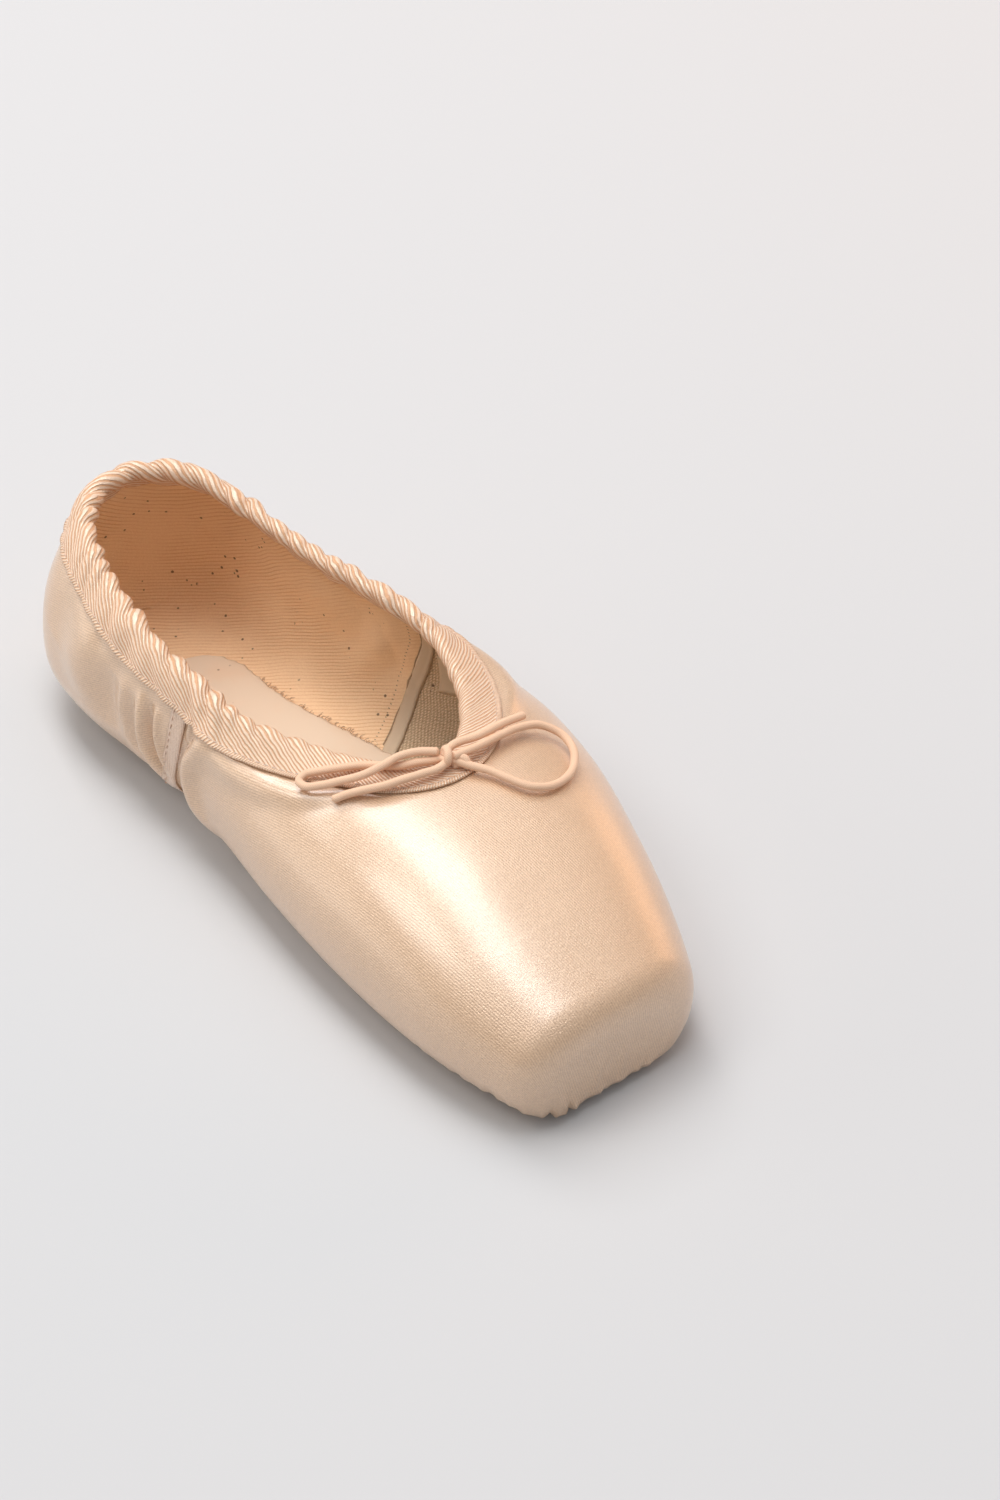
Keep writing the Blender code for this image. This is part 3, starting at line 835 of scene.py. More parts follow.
class Bench:
    """Modelling moves that every piece uses."""

    @staticmethod
    def clear_selection() -> None:
        """Deselects everything and leaves edit mode."""
        if bpy.context.object and bpy.context.object.mode != "OBJECT":
            bpy.ops.object.mode_set(mode="OBJECT")
        bpy.ops.object.select_all(action="DESELECT")

    @staticmethod
    def pick(obj: bpy.types.Object) -> None:
        """Selects one object alone and makes it active.

        Args:
            obj: the object.
        """
        Bench.clear_selection()
        obj.select_set(True)
        bpy.context.view_layer.objects.active = obj

    @staticmethod
    def grid(
        name: str, points: np.ndarray, unwrapped: np.ndarray, traits: np.ndarray | None = None
    ) -> bpy.types.Object:
        """Lays a grid primitive over rows and columns of points.

        Args:
            name: the piece's name.
            points: positions by row and column.
            unwrapped: position on the flat cloth by row and column, in metres.
            traits: four values by row and column, kept on the points as colour.

        Returns:
            The grid.
        """
        rows, columns = points.shape[:2]
        Bench.clear_selection()
        bpy.ops.mesh.primitive_grid_add(x_subdivisions=columns - 1, y_subdivisions=rows - 1, size=1.0)
        made = bpy.context.object
        made.name = name
        mesh = made.data
        mesh.vertices.foreach_set("co", points.reshape(-1).astype(np.float32))
        corners = np.empty(len(mesh.loops), np.int32)
        mesh.loops.foreach_get("vertex_index", corners)
        flat = unwrapped.reshape(-1, 2)[corners].reshape(-1).astype(np.float32)
        mesh.uv_layers[0].data.foreach_set("uv", flat)
        if traits is not None:
            kept = mesh.attributes.new("traits", "FLOAT_COLOR", "POINT")
            kept.data.foreach_set("color", traits.reshape(-1).astype(np.float32))
        mesh.update()
        return made

    @staticmethod
    def place(name: str, data: bpy.types.ID) -> bpy.types.Object:
        """Puts new data into the scene as an object.

        Args:
            name: the object's name.
            data: its mesh, light or camera.

        Returns:
            The object.
        """
        made = bpy.data.objects.new(name, data)
        bpy.context.scene.collection.objects.link(made)
        return made

    @staticmethod
    def faces(obj: bpy.types.Object) -> BVHTree:
        """A mesh's faces, ready to be searched for the nearest place.

        Args:
            obj: the piece.

        Returns:
            The tree of faces.
        """
        points = [v.co.copy() for v in obj.data.vertices]
        return BVHTree.FromPolygons(points, [tuple(p.vertices) for p in obj.data.polygons])

    @staticmethod
    def join(parts: list, name: str) -> bpy.types.Object:
        """Joins objects into the first one and names it.

        Args:
            parts: the objects.
            name: the piece's name.

        Returns:
            The joined object.
        """
        Bench.clear_selection()
        for part in parts:
            part.select_set(True)
        bpy.context.view_layer.objects.active = parts[0]
        if len(parts) > 1:
            bpy.ops.object.join()
        parts[0].name = name
        return parts[0]

    @staticmethod
    def weld(obj: bpy.types.Object, distance: float = 2e-6) -> None:
        """Merges points that meet and turns all faces outward.

        Args:
            obj: the piece.
            distance: how near points meet, in metres.
        """
        Bench.pick(obj)
        bpy.ops.object.mode_set(mode="EDIT")
        bpy.ops.mesh.select_all(action="SELECT")
        bpy.ops.mesh.remove_doubles(threshold=distance)
        bpy.ops.mesh.normals_make_consistent(inside=False)
        bpy.ops.object.mode_set(mode="OBJECT")

    @staticmethod
    def finish(obj: bpy.types.Object, kind: str, **settings: object) -> None:
        """Adds a modifier and applies it.

        Args:
            obj: the piece.
            kind: the modifier's type.
            settings: its properties.
        """
        Bench.pick(obj)
        modifier = obj.modifiers.new(kind.lower(), kind)
        for key, value in settings.items():
            setattr(modifier, key, value)
        bpy.ops.object.modifier_apply(modifier=modifier.name)

    @staticmethod
    def thicken(obj: bpy.types.Object, wall: float, offset: float = -1.0) -> None:
        """Gives a sheet its thickness, inward unless offset says otherwise."""
        even = {"use_even_offset": False, "use_quality_normals": True}
        Bench.finish(obj, "SOLIDIFY", thickness=wall, offset=offset, **even)

    @staticmethod
    def read(obj: bpy.types.Object) -> tuple[np.ndarray, np.ndarray]:
        """Points and point normals of a mesh.

        Args:
            obj: the piece.

        Returns:
            Positions and outward directions, one row a point.
        """
        count = len(obj.data.vertices)
        points = np.empty(count * 3, np.float32)
        normals = np.empty(count * 3, np.float32)
        obj.data.vertices.foreach_get("co", points)
        obj.data.vertex_normals.foreach_get("vector", normals)
        return points.reshape(-1, 3).astype(float), normals.reshape(-1, 3).astype(float)

    @staticmethod
    def write(obj: bpy.types.Object, points: np.ndarray) -> None:
        """Moves the points of a mesh."""
        obj.data.vertices.foreach_set("co", points.reshape(-1).astype(np.float32))
        obj.data.update()

    @staticmethod
    def hand_in(
        obj: bpy.types.Object, material: bpy.types.Material, slot: str, *nodes: str
    ) -> bpy.types.Object:
        """Shades a finished piece, gives it its finish and hangs it on the shoe's body.

        Args:
            obj: the piece.
            material: its finish.
            slot: the record's material slot; not used.
            nodes: the solids that it stands for.

        Returns:
            The piece.
        """
        obj.data.materials.clear()
        obj.data.materials.append(material)
        Bench.pick(obj)
        bpy.ops.object.shade_smooth()
        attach(obj, "root")
        if nodes:
            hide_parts(*nodes)
        LOG.info("%s: %d faces", obj.name, len(obj.data.polygons))
        return obj


class Tube:
    """Round cord along a smooth line, as a mesh with rounded tips."""

    def __init__(self, route: list, radius: float, spacing: float, sides: int = 14) -> None:
        """Sets the line and the size.

        Args:
            route: points of the line, in metres.
            radius: half the cord's thickness.
            spacing: distance between rings.
            sides: points of a ring.
        """
        whole = run_along(np.array(route, float))[-1]
        self.path = even_places(route, max(int(whole / spacing), 8))
        self.radius = radius
        self.sides = sides

    @property
    def length(self) -> float:
        """Length of the line."""
        return float(np.linalg.norm(np.diff(self.path, axis=0), axis=1).sum())

    def build(self, name: str) -> bpy.types.Object:
        """Makes the mesh: rings carried along the line without twisting, closed at both tips.

        Args:
            name: the piece's name.

        Returns:
            The cord.
        """
        line = self.path
        tangent = unit(np.gradient(line, axis=0))
        across = np.cross(tangent[0], (0.0, 0.0, 1.0))
        frames = []
        for direction in tangent:
            across = across - direction * across.dot(direction)
            across /= np.linalg.norm(across)
            frames.append((across.copy(), np.cross(direction, across)))
        swell = np.sin(np.linspace(0, math.pi / 2, 5))[:-1]
        rows = [(line[0] - tangent[0] * self.radius * 0.6 * (1 - s), 0, s) for s in swell]
        rows += [(point, i, 1.0) for i, point in enumerate(line)]
        last = len(line) - 1
        rows += [(line[-1] + tangent[-1] * self.radius * 0.6 * (1 - s), last, s) for s in swell[::-1]]
        angles = np.linspace(0, 2 * math.pi, self.sides + 1)
        points, flat = [], []
        run = 0.0
        before = rows[0][0]
        for place, i, size in rows:
            run += float(np.linalg.norm(place - before))
            before = place
            one, two = frames[i]
            ring = np.cos(angles)[:, None] * one + np.sin(angles)[:, None] * two
            points.append(place + ring * self.radius * max(size, 1e-4))
            flat.append(np.column_stack([np.full(len(angles), run), angles * self.radius]))
        made = Bench.grid(name, np.array(points), np.array(flat))
        Bench.weld(made, 1e-6)
        return made


@dataclass
class Drawstring:
    """Elastic cord tied in a bow in front of the throat: two loops, two ends and the knot."""

    diameter: float = 0.0022
    exit: tuple = (-0.0007, -0.0353, 0.0495)
    knot_centre: tuple = (-0.7, -35.3, 51.9)
    knot_ring: float = 1.7
    under_centre: tuple = (1.9, -38.3, 50.4)
    under_ring: float = 1.35
    heading: float = math.radians(-25)
    finish: Elastic = field(default_factory=Elastic)

    # Centre lines in millimetres: x, y, z.
    loop_right: tuple = (
        (0.5, -37.0, 52.4),
        (8.9, -37.0, 51.5),
        (16.0, -36.2, 50.5),
        (22.9, -35.6, 49.0),
        (28.9, -36.3, 47.0),
        (32.5, -40.2, 45.0),
        (31.9, -46.4, 44.5),
        (29.0, -50.8, 44.5),
        (22.0, -55.6, 46.0),
        (14.9, -56.5, 48.0),
        (11.4, -54.8, 49.0),
        (8.4, -50.2, 49.8),
        (6.0, -45.0, 50.2),
        (2.4, -39.8, 50.6),
    )
    loop_left: tuple = (
        (-2.0, -33.3, 52.7),
        (-5.6, -30.7, 52.8),
        (-10.5, -28.8, 52.6),
        (-16.6, -28.5, 52.0),
        (-21.7, -26.8, 50.5),
        (-26.0, -23.9, 49.0),
        (-30.2, -21.1, 47.8),
        (-33.0, -18.1, 46.9),
        (-32.8, -15.3, 46.7),
        (-30.8, -14.9, 47.2),
        (-27.6, -17.1, 48.3),
        (-23.3, -20.1, 49.2),
        (-18.9, -22.8, 49.6),
        (-15.0, -26.1, 49.8),
        (-11.1, -29.5, 50.0),
        (-7.6, -31.7, 50.8),
        (-4.2, -33.2, 50.6),
    )
    end_right: tuple = ((1.6, -33.9, 52.6), (10.0, -34.6, 52.4), (19.3, -33.6, 51.2), (26.0, -33.0, 49.6))
    end_left: tuple = (
        (-3.6, -36.9, 50.9),
        (-9.0, -35.9, 50.8),
        (-13.8, -34.5, 50.5),
        (-18.2, -32.9, 49.8),
        (-23.0, -29.8, 48.5),
        (-26.9, -27.2, 47.1),
        (-29.4, -25.9, 46.0),
    )

    def strand(
        self, name: str, route: tuple, nodes: tuple, material: bpy.types.Material
    ) -> bpy.types.Object:
        """One half of the cord: its loop, its way through the knot and its free end.

        Args:
            name: the piece's name.
            route: points of the loop, of the way through the knot and of the free end, in millimetres.
            nodes: the solids that it stands for.
            material: its finish.

        Returns:
            The cord.
        """
        tube = Tube([tuple(MM * c for c in point) for point in route], self.diameter / 2, 0.6 * MM)
        made = tube.build(name)
        Bench.hand_in(made, material, "drawstring_cord", *nodes)
        return made

    def wrap(
        self, name: str, centre: tuple, ring: float, heading: float, tilt: float, turn: tuple
    ) -> bpy.types.Object:
        """One turn of cord round the strands.

        Args:
            name: the piece's name.
            centre: middle of the turn, in millimetres.
            ring: radius of the turn's centre line, in millimetres.
            heading: direction of the strands that it holds, in plan.
            tilt: how far the turn leans over.
            turn: first and last angle in degrees.

        Returns:
            The turn.
        """
        across = Vector((-math.sin(heading), math.cos(heading), 0.0))
        lean = math.sin(tilt)
        rise = Vector((math.cos(heading) * lean, math.sin(heading) * lean, math.cos(tilt)))
        middle = Vector(centre)
        angles = [math.radians(a) for a in np.linspace(*turn, 22)]
        points = [middle + ring * (1.15 * across * math.cos(a) + rise * math.sin(a)) for a in angles]
        return Tube([tuple(MM * c for c in p) for p in points], self.diameter / 2, 0.35 * MM).build(name)

    def build(self) -> None:
        """Makes the knot and both halves of the cord."""
        material = self.finish.material()
        heading = self.heading
        over = self.wrap("drawstring_tie", self.knot_centre, self.knot_ring, heading, 0.25, (-70, 235))
        under = self.wrap("under_turn", self.under_centre, self.under_ring, heading + 1.0, 0.5, (-60, 215))
        tie = Bench.join([over, under], "drawstring_tie")
        Bench.hand_in(tie, material, "drawstring_cord", "drawstring_knot")
        halves = {
            "right": (*self.loop_right, (0.4, -36.6, 51.2), (-0.6, -34.6, 52.0), *self.end_right),
            "left": (*self.loop_left, (-1.6, -34.6, 50.9), (-1.4, -36.4, 51.2), *self.end_left),
        }
        for word, route in halves.items():
            nodes = (f"drawstring_loop_{word}", f"drawstring_end_{word}")
            self.strand(f"drawstring_{word}", route, nodes, material)


class Skin:
    """Finished outside of the upper, on which tapes and stitches are laid."""

    def __init__(self, last: Last, obj: bpy.types.Object) -> None:
        """Reads the surface from the satin before it gets its thickness.

        Args:
            last: the form under it.
            obj: the satin.
        """
        self.last = last
        self.tree = Bench.faces(obj)

    def nearest(self, point: Vector) -> tuple[Vector, Vector]:
        """Nearest place on the surface and its outward normal."""
        place, normal, _, _ = self.tree.find_nearest(point)
        return place, normal

    def at(self, side: int, share: float, rise: float) -> tuple[Vector, Vector]:
        """Finds a spot of one side on the surface.

        Args:
            side: 1 for the far side and -1 for the near side.
            share: share along the length.
            rise: rise up the wall, below 0 under the sole's edge.

        Returns:
            The place and its outward normal.
        """
        wall, _ = self.last.profile(np.array([share]), side, 201, 1)
        place = wall[0, 1:][int(round(np.clip(rise, 0, 1) * 200))]
        if rise < 0:
            place = place + (wall[0, 0] - place) * min(-5.0 * rise, 0.95)
        return self.nearest(Vector(place))

    def line(self, side: int, route: tuple, count: int) -> tuple[np.ndarray, np.ndarray]:
        """Even points and normals along a line of shares and rises on one side.

        Args:
            side: 1 for the far side and -1 for the near side.
            route: points of the line as (share, rise).
            count: points wanted.

        Returns:
            Positions and normals.
        """
        found = [self.at(side, share, rise) for share, rise in even_places(route, count)]
        return np.array([p for p, _ in found]), np.array([n for _, n in found])


@dataclass
class Upper:
    """Satin outside of the shoe, pulled over the last and creased."""

    last: Last
    rows: int = 76
    under: int = 20
    satin_thick: float = 0.5 * MM
    finish: Satin = field(default_factory=Satin)

    def half(self, side: int, fine: float, rows: int, under: int, name: str) -> bpy.types.Object:
        """One side of the shoe as a grid with its place kept on each point.

        Args:
            side: 1 for the far side and -1 for the near side.
            fine: spacing of the sections, 1 for the satin's.
            rows: points up the wall.
            under: points along the margin.
            name: the grid's name.

        Returns:
            The grid.
        """
        share = self.last.stations(fine)
        points, girth = self.last.profile(share, side, rows, under)
        rise = np.concatenate([np.linspace(-1, 0, under + 1)[:-1], np.linspace(0, 1, rows)])
        shape = points.shape[:2]
        traits = np.empty((*shape, 4))
        traits[..., 0] = share[:, None]
        traits[..., 1] = rise[None, :]
        traits[..., 2] = side
        traits[..., 3] = girth[:, None]
        down = (1 - rise[None, :]) * girth[:, None] + self.last.reach(share)[:, None]
        unwrapped = np.stack([np.broadcast_to(share[:, None] * self.last.length, shape), side * down], axis=2)
        return Bench.grid(name, points, unwrapped, traits)

    def platform(self, rows: int, under: int, name: str) -> bpy.types.Object:
        """Flat face of the platform: straight rows, then a cap up to the crown's arc.

        Args:
            rows: points up the wall.
            under: points along the margin.
            name: the grid's name.

        Returns:
            The grid.
        """
        share = np.array([0.0])
        right, girth = self.last.profile(share, 1, rows, under)
        left, _ = self.last.profile(share, -1, rows, under)
        right, left = right[0][under:], left[0][under:]
        across = np.linspace(0, 1, 2 * under + 1)[None, :, None]
        straight = right[: rows - under, None] * (1 - across) + left[: rows - under, None] * across
        arc = np.vstack([right[rows - under - 1 :], left[rows - under - 1 : -1][::-1]])[None]
        capped = np.linspace(0, 1, 9)[1:, None, None]
        points = np.concatenate([straight, straight[-1:] * (1 - capped) + arc * capped])
        rise = np.linspace(0, 1, len(points))
        rise[: rows - under] = np.linspace(0, 1, rows)[: rows - under]
        shape = points.shape[:2]
        traits = np.zeros((*shape, 4))
        traits[..., 1] = rise[:, None]
        traits[..., 3] = girth[0]
        unwrapped = np.stack([points[..., 2] - points[:1, :1, 2], points[..., 0]], axis=2)
        return Bench.grid(name, points, unwrapped, traits)

    def shell(self, fine: float, rows: int, under: int, name: str, outside: bool = True) -> bpy.types.Object:
        """Both sides and the platform as one open shell with its creases.

        Args:
            fine: spacing of the sections, 1 for the satin's.
            rows: points up the wall.
            under: points along the margin.
            name: the shell's name.
            outside: whether it has the toe's tucks and pleats too.

        Returns:
            The shell.
        """
        parts = [self.half(side, fine, rows, under, f"{name}_{side}") for side in SIDES]
        parts.append(self.platform(rows, under, f"{name}_face"))
        made = Bench.join(parts, name)
        Bench.weld(made)
        self.crease(made, outside)
        return made

    def traits(self, obj: bpy.types.Object) -> np.ndarray:
        """Share, rise, side and girth of each point.

        Args:
            obj: a shell.

        Returns:
            Four columns, one row a point.
        """
        kept = np.empty(len(obj.data.vertices) * 4, np.float32)
        obj.data.attributes["traits"].data.foreach_get("color", kept)
        return kept.reshape(-1, 4).astype(float)

    def crease(self, obj: bpy.types.Object, outside: bool) -> None:
        """Pushes the points by the creases and the gathers.

        Args:
            obj: a shell.
            outside: whether the toe's tucks, pleats and waviness are added.
        """
        points, normals = Bench.read(obj)
        share, rise, side, girth = self.traits(obj).T
        length = self.last.length
        push = np.zeros(len(points))
        for row in CREASES:
            push += row.push(side, share, rise, girth, length)
        push += self.gathers(share, rise, side, girth)
        if outside:
            push += self.tucks(points, share, rise, girth)
            push += self.pleats(points, share)
            push += self.waviness(points)
        Bench.write(obj, points + normals * push[:, None])

    def gathers(self, share: np.ndarray, rise: np.ndarray, side: np.ndarray, girth: np.ndarray) -> np.ndarray:
        """Ripples that the gathered binding pulls into the quarters.

        Args:
            share: share of each point.
            rise: rise of each point.
            side: side of each point.
            girth: girth of the section at each point.

        Returns:
            Distances in metres.
        """
        run = share * self.last.length / MM + 3.0 * side
        ripple = np.sin(run * 2 * math.pi / 13.0 + 0.8 * np.sin(run / 9.0))
        below = (1 - rise) * girth / MM
        start = np.clip((share - 0.56) / 0.10, 0, 1)
        return ripple * np.exp(-((below / 15.0) ** 2)) * start * 0.35 * MM

    def tucks(self, points: np.ndarray, share: np.ndarray, rise: np.ndarray, girth: np.ndarray) -> np.ndarray:
        """Small pleats and sharper notches where the satin turns under the toe.

        Args:
            points: the points.
            share: share of each point.
            rise: rise of each point.
            girth: girth of the section at each point.

        Returns:
            Distances in metres.
        """
        x, y, _ = (points / MM).T
        up = np.where(rise < 0, 0.0, rise * girth / MM)
        push = np.zeros(len(points))
        for place_x, place_y, half, depth, height in TUCKS:
            outward = np.array((place_x + 8.0, (place_y + 62.0) * 0.9))
            outward /= np.linalg.norm(outward)
            across = np.abs((y - place_y) * outward[0] - (x - place_x) * outward[1])
            near = np.hypot(x - place_x, y - place_y) < 14.0
            notch = np.exp(-((across / half) ** 2)) - 0.45 * np.exp(-(((across - 2.2 * half) / half) ** 2))
            push -= near * notch * depth * np.exp(-((up / height) ** 2))
        turned = np.arctan2(x + 8.0, -(y + 70.0))
        ripple = np.sin(turned * 30.0 + 2.0 * np.sin(turned * 7.0))
        edge = np.exp(-((up / 4.0) ** 2)) * np.clip((0.30 - share) / 0.10, 0, 1)
        return (push + 0.22 * ripple * edge) * MM

    def pleats(self, points: np.ndarray, share: np.ndarray) -> np.ndarray:
        """Two short upright ridges low on the platform's face.

        Args:
            points: the points.
            share: share of each point.

        Returns:
            Distances in metres.
        """
        push = np.zeros(len(points))
        for x, lean in ((-6.4, 0.10), (-14.6, 0.18)):
            place = points[:, 0] / MM - x - lean * (points[:, 2] / MM - 10.0)
            height = np.exp(-((place / 0.55) ** 2)) * np.exp(-(((points[:, 2] / MM - 10.0) / 5.5) ** 4))
            push += height * np.where(share < 0.004, 0.45, 0.0) * MM
        return push

    def waviness(self, points: np.ndarray) -> np.ndarray:
        """Slight unevenness of cloth over paste and canvas.

        Args:
            points: the points.

        Returns:
            Distances in metres.
        """
        x, y, z = (points / MM).T
        broad = np.sin(x / 7.3 + 1.1 * np.sin(y / 19.0)) * np.sin(y / 11.0 + z / 9.0)
        small = np.sin(x / 2.9 + z / 3.7) * np.sin(y / 4.3 - z / 5.1)
        return (0.09 * broad + 0.02 * small) * MM

    def build(self) -> Skin:
        """Makes the satin.

        Returns:
            The satin's outside, for the pieces laid on it.
        """
        made = self.shell(1.0, self.rows, self.under, "satin_upper")
        skin = Skin(self.last, made)
        made.data.attributes.remove(made.data.attributes["traits"])
        Bench.thicken(made, self.satin_thick)
        Bench.hand_in(made, self.finish.material(), "satin", "upper")
        return skin


@dataclass
class Lining:
    """Canvas inside of the shoe, on which the seam facings and the bare label are laid."""

    upper: Upper
    thick: float = 0.8 * MM
    finish: Canvas = field(default_factory=Canvas)

    def build(self) -> BVHTree:
        """Makes the lining.

        Returns:
            The lining's faces, for the pieces laid on it.
        """
        last = self.upper.last
        made = self.upper.shell(0.5, 44, 8, "canvas_lining", outside=False)
        points, normals = Bench.read(made)
        share, rise, _, girth = self.upper.traits(made).T
        wall = last.thickness(share, points[:, 2]) + 1.2 * MM * np.clip((0.30 - share) / 0.15, 0, 1)
        shift = -normals * (wall - self.thick)[:, None]
        shift[share < 1e-6] = (0.0, last.box_wall, 0.0)
        Bench.write(made, points + shift)
        line = np.array(FACING)[::-1]
        behind = (share - np.interp(rise, line[:, 1], line[:, 0])) * last.length
        down = (1 - rise) * girth
        corners = np.empty(len(made.data.loops), np.int32)
        made.data.loops.foreach_get("vertex_index", corners)
        flat = np.column_stack([behind, down])[corners].reshape(-1).astype(np.float32)
        made.data.uv_layers[0].data.foreach_set("uv", flat)
        made.data.attributes.remove(made.data.attributes["traits"])
        Bench.thicken(made, self.thick)
        Bench.hand_in(made, self.finish.material(), "sock_lining")
        return Bench.faces(made)


@dataclass
class Binding:
    """Tape folded over the collar's edge and gathered by the drawstring inside it."""

    last: Last
    skin: Skin
    count: int = 900
    outer_drop: float = 9.0 * MM
    inner_drop: float = 4.2 * MM
    fold_drop: float = 0.4 * MM
    outer_rows: int = 13
    roll_rows: int = 9
    inner_rows: int = 7
    stitch_row: int = 2
    gap: float = 0.35 * MM
    thick: float = 0.55 * MM
    pucker: float = 2.6 * MM
    pucker_lean: float = 0.115
    finish: Tape = field(default_factory=Tape)

    def collar_line(self) -> np.ndarray:
        """Even points along the collar's edge, from the throat up the far side, round the heel and back.

        Returns:
            One row a point.
        """
        share = self.last.throat_share + (1 - self.last.throat_share) * np.linspace(0, 1, 1200) ** 1.6
        share = np.concatenate([share[share < 0.985], 1 - np.linspace(0.015**0.5, 0, 60) ** 2])
        halves = [self.last.profile(share, side, 2, 1)[0][:, -1] for side in SIDES]
        loop = np.vstack([halves[0], halves[1][::-1][1:]])
        run = run_along(loop)
        at = np.linspace(0, run[-1], self.count + 1)[:-1]
        return np.column_stack([np.interp(at, run, loop[:, k]) for k in range(3)])

    @staticmethod
    def smooth(values: np.ndarray, width: int) -> np.ndarray:
        """Averages a closed row of values with their neighbours.

        Args:
            values: one row a place.
            width: neighbours on each side.

        Returns:
            The averages.
        """
        weights = np.hanning(2 * width + 3)[1:-1]
        weights /= weights.sum()
        padded = np.concatenate([values[-width:], values, values[:width]])
        return np.stack([np.convolve(padded[:, k], weights, "valid") for k in range(values.shape[1])], axis=1)

    def frames(self) -> tuple[np.ndarray, np.ndarray, np.ndarray]:
        """Sets a frame on each collar point.

        Returns:
            Points, outward normals and upward directions, one row each.
        """
        line = self.collar_line()
        line = self.smooth(line, 4)
        tangent = unit(np.roll(line, -1, axis=0) - np.roll(line, 1, axis=0))
        normal = np.array([self.skin.nearest(Vector(p))[1] for p in line])
        normal = self.smooth(normal, 10)
        normal = unit(normal - tangent * (normal * tangent).sum(axis=1)[:, None])
        up = np.cross(tangent, normal)
        probe = [self.skin.tree.find_nearest(Vector(p + u * 4 * MM))[3] for p, u in zip(line, up)]
        other = [self.skin.tree.find_nearest(Vector(p - u * 4 * MM))[3] for p, u in zip(line, up)]
        if sum(probe) < sum(other):
            up = -up
        return line, normal, up

    def gathers(self, run: np.ndarray) -> tuple[np.ndarray, np.ndarray, np.ndarray]:
        """Phase, strength and filling of the puckers along the loop.

        Args:
            run: distance along the loop of each station, in metres.

        Returns:
            The phase, which grows by 1 a pucker, the strength from 0 to 1, and how far valleys are filled.
        """
        total = run[-1] + run[1]
        rng = np.random.default_rng(7)
        widths = rng.uniform(4.6, 12.0, int(total / MM / 8.0))
        widths *= total / widths.sum()
        edges = np.concatenate([[0], np.cumsum(widths)])
        phase = np.interp(run, edges, np.arange(len(edges)))
        heights = rng.uniform(0.30, 1.0, len(widths) + 1)
        filled = rng.uniform(0.0, 0.42, len(widths) + 1)
        heights[-1], filled[-1] = heights[0], filled[0]
        from_throat = np.minimum(run, total - run) / MM
        strength = np.interp(from_throat, [10.0, 40.0, 62.0, 90.0], [0.10, 0.42, 0.80, 1.0])
        counted = np.arange(len(heights))
        return phase, strength * np.interp(phase, counted, heights), np.interp(phase, counted, filled)

    def ribs(self, run: np.ndarray) -> np.ndarray:
        """How many ribs have passed along the loop. They lie steeper across the tape near the throat.

        Args:
            run: distance along the loop of each station, in metres.

        Returns:
            Counts, which end on a whole rib.
        """
        total = run[-1] + run[1]
        from_throat = np.minimum(run, total - run) / MM
        along = (0.42 + 0.42 * np.clip(1 - (from_throat - 10.0) / 55.0, 0, 1)) / (0.95 * MM)
        passed = np.concatenate([[0], np.cumsum(along[:-1] * np.diff(run))])
        count = passed[-1] + along[-1] * run[1]
        return passed * (round(count) / count)

    @property
    def lift(self) -> float:
        """Height of the tape's face over the satin."""
        return self.gap + self.thick

    def layers(self, line: np.ndarray, normal: np.ndarray, up: np.ndarray) -> list:
        """Rows of the folded tape before it is gathered.

        Args:
            line: the collar's points.
            normal: outward directions there.
            up: upward directions there.

        Returns:
            For each row, from the outer edge over the fold to the inner edge, its distance before the fold,
            its points and its directions.
        """
        rows = []
        for drop in np.linspace(self.outer_drop, self.fold_drop, self.outer_rows):
            found = [self.skin.nearest(Vector(p - u * drop)) for p, u in zip(line, up)]
            place = self.smooth(np.array([f[0] for f in found]), 5)
            facing = self.smooth(np.array([f[1] for f in found]), 9)
            rows.append((drop, place, unit(facing)))
        outer = list(rows)
        wall = self.last.wall
        radius = wall / 2 + self.lift
        middle = line - normal * wall / 2
        for angle in np.linspace(0, math.pi, self.roll_rows + 2)[1:-1]:
            facing = normal * math.cos(angle) + up * math.sin(angle)
            rows.append((-radius * angle, middle + facing * (radius - self.lift), facing))
        for drop in np.linspace(self.fold_drop, self.inner_drop, self.inner_rows):
            across, place, facing = min(outer, key=lambda row: abs(row[0] - drop))
            rows.append((-math.pi * radius - drop, place + (across - drop) * up - facing * wall, -facing))
        return rows

    def gathered(self, rows: list, run: np.ndarray, up: np.ndarray) -> tuple[np.ndarray, np.ndarray]:
        """Puckers the rows of the tape.

        Args:
            rows: the rows, as layers gives them.
            run: distance along the loop of each station, in metres.
            up: upward directions there.

        Returns:
            Points by station and row, and their unwrapped positions, with the first station again at the end.
        """
        phase, strength, filled = self.gathers(run)
        meander = np.sin(run / MM / 5.7) + 0.7 * np.sin(run / MM / 2.9 + 1.3) + 0.5 * np.sin(run / MM / 11.0)
        passed = self.ribs(run)
        points, flat = [], []
        for offset, place, facing in rows:
            width = offset / MM
            leaning = phase - self.pucker_lean * width
            wave = filled + (1 - filled) * np.abs(np.sin(math.pi * leaning)) ** 0.75
            if width > 0:
                share = np.interp(width, [0, 2.5, 5.5, 7.4, 8.0, 9.0], [1.0, 0.9, 0.5, 0.12, 0.08, 0.35])
            else:
                share = np.interp(-width, [0, 3.0, 5.0, 8.0], [0.95, 0.75, 0.6, 0.5])
            bulge = self.pucker * share * strength * wave
            if width > 5.0:
                spread = -0.30 * np.clip((width - 5.0) / 4.0, 0, 1) * (wave - 0.5)
            else:
                spread = np.exp(-(((width + 2.0) / 3.4) ** 2)) * (1.5 * (wave - 0.7) + 0.30 * meander)
            calm = np.interp(width, [0, 9], [1.0, 0.25])
            sway = 0.45 * strength * np.sin(2 * math.pi * leaning + 0.6) * calm
            raised = place + facing * (self.lift + bulge)[:, None]
            points.append(raised + up * (spread * strength * MM)[:, None])
            flat.append(np.column_stack([passed + sway, np.full(len(run), offset)]))
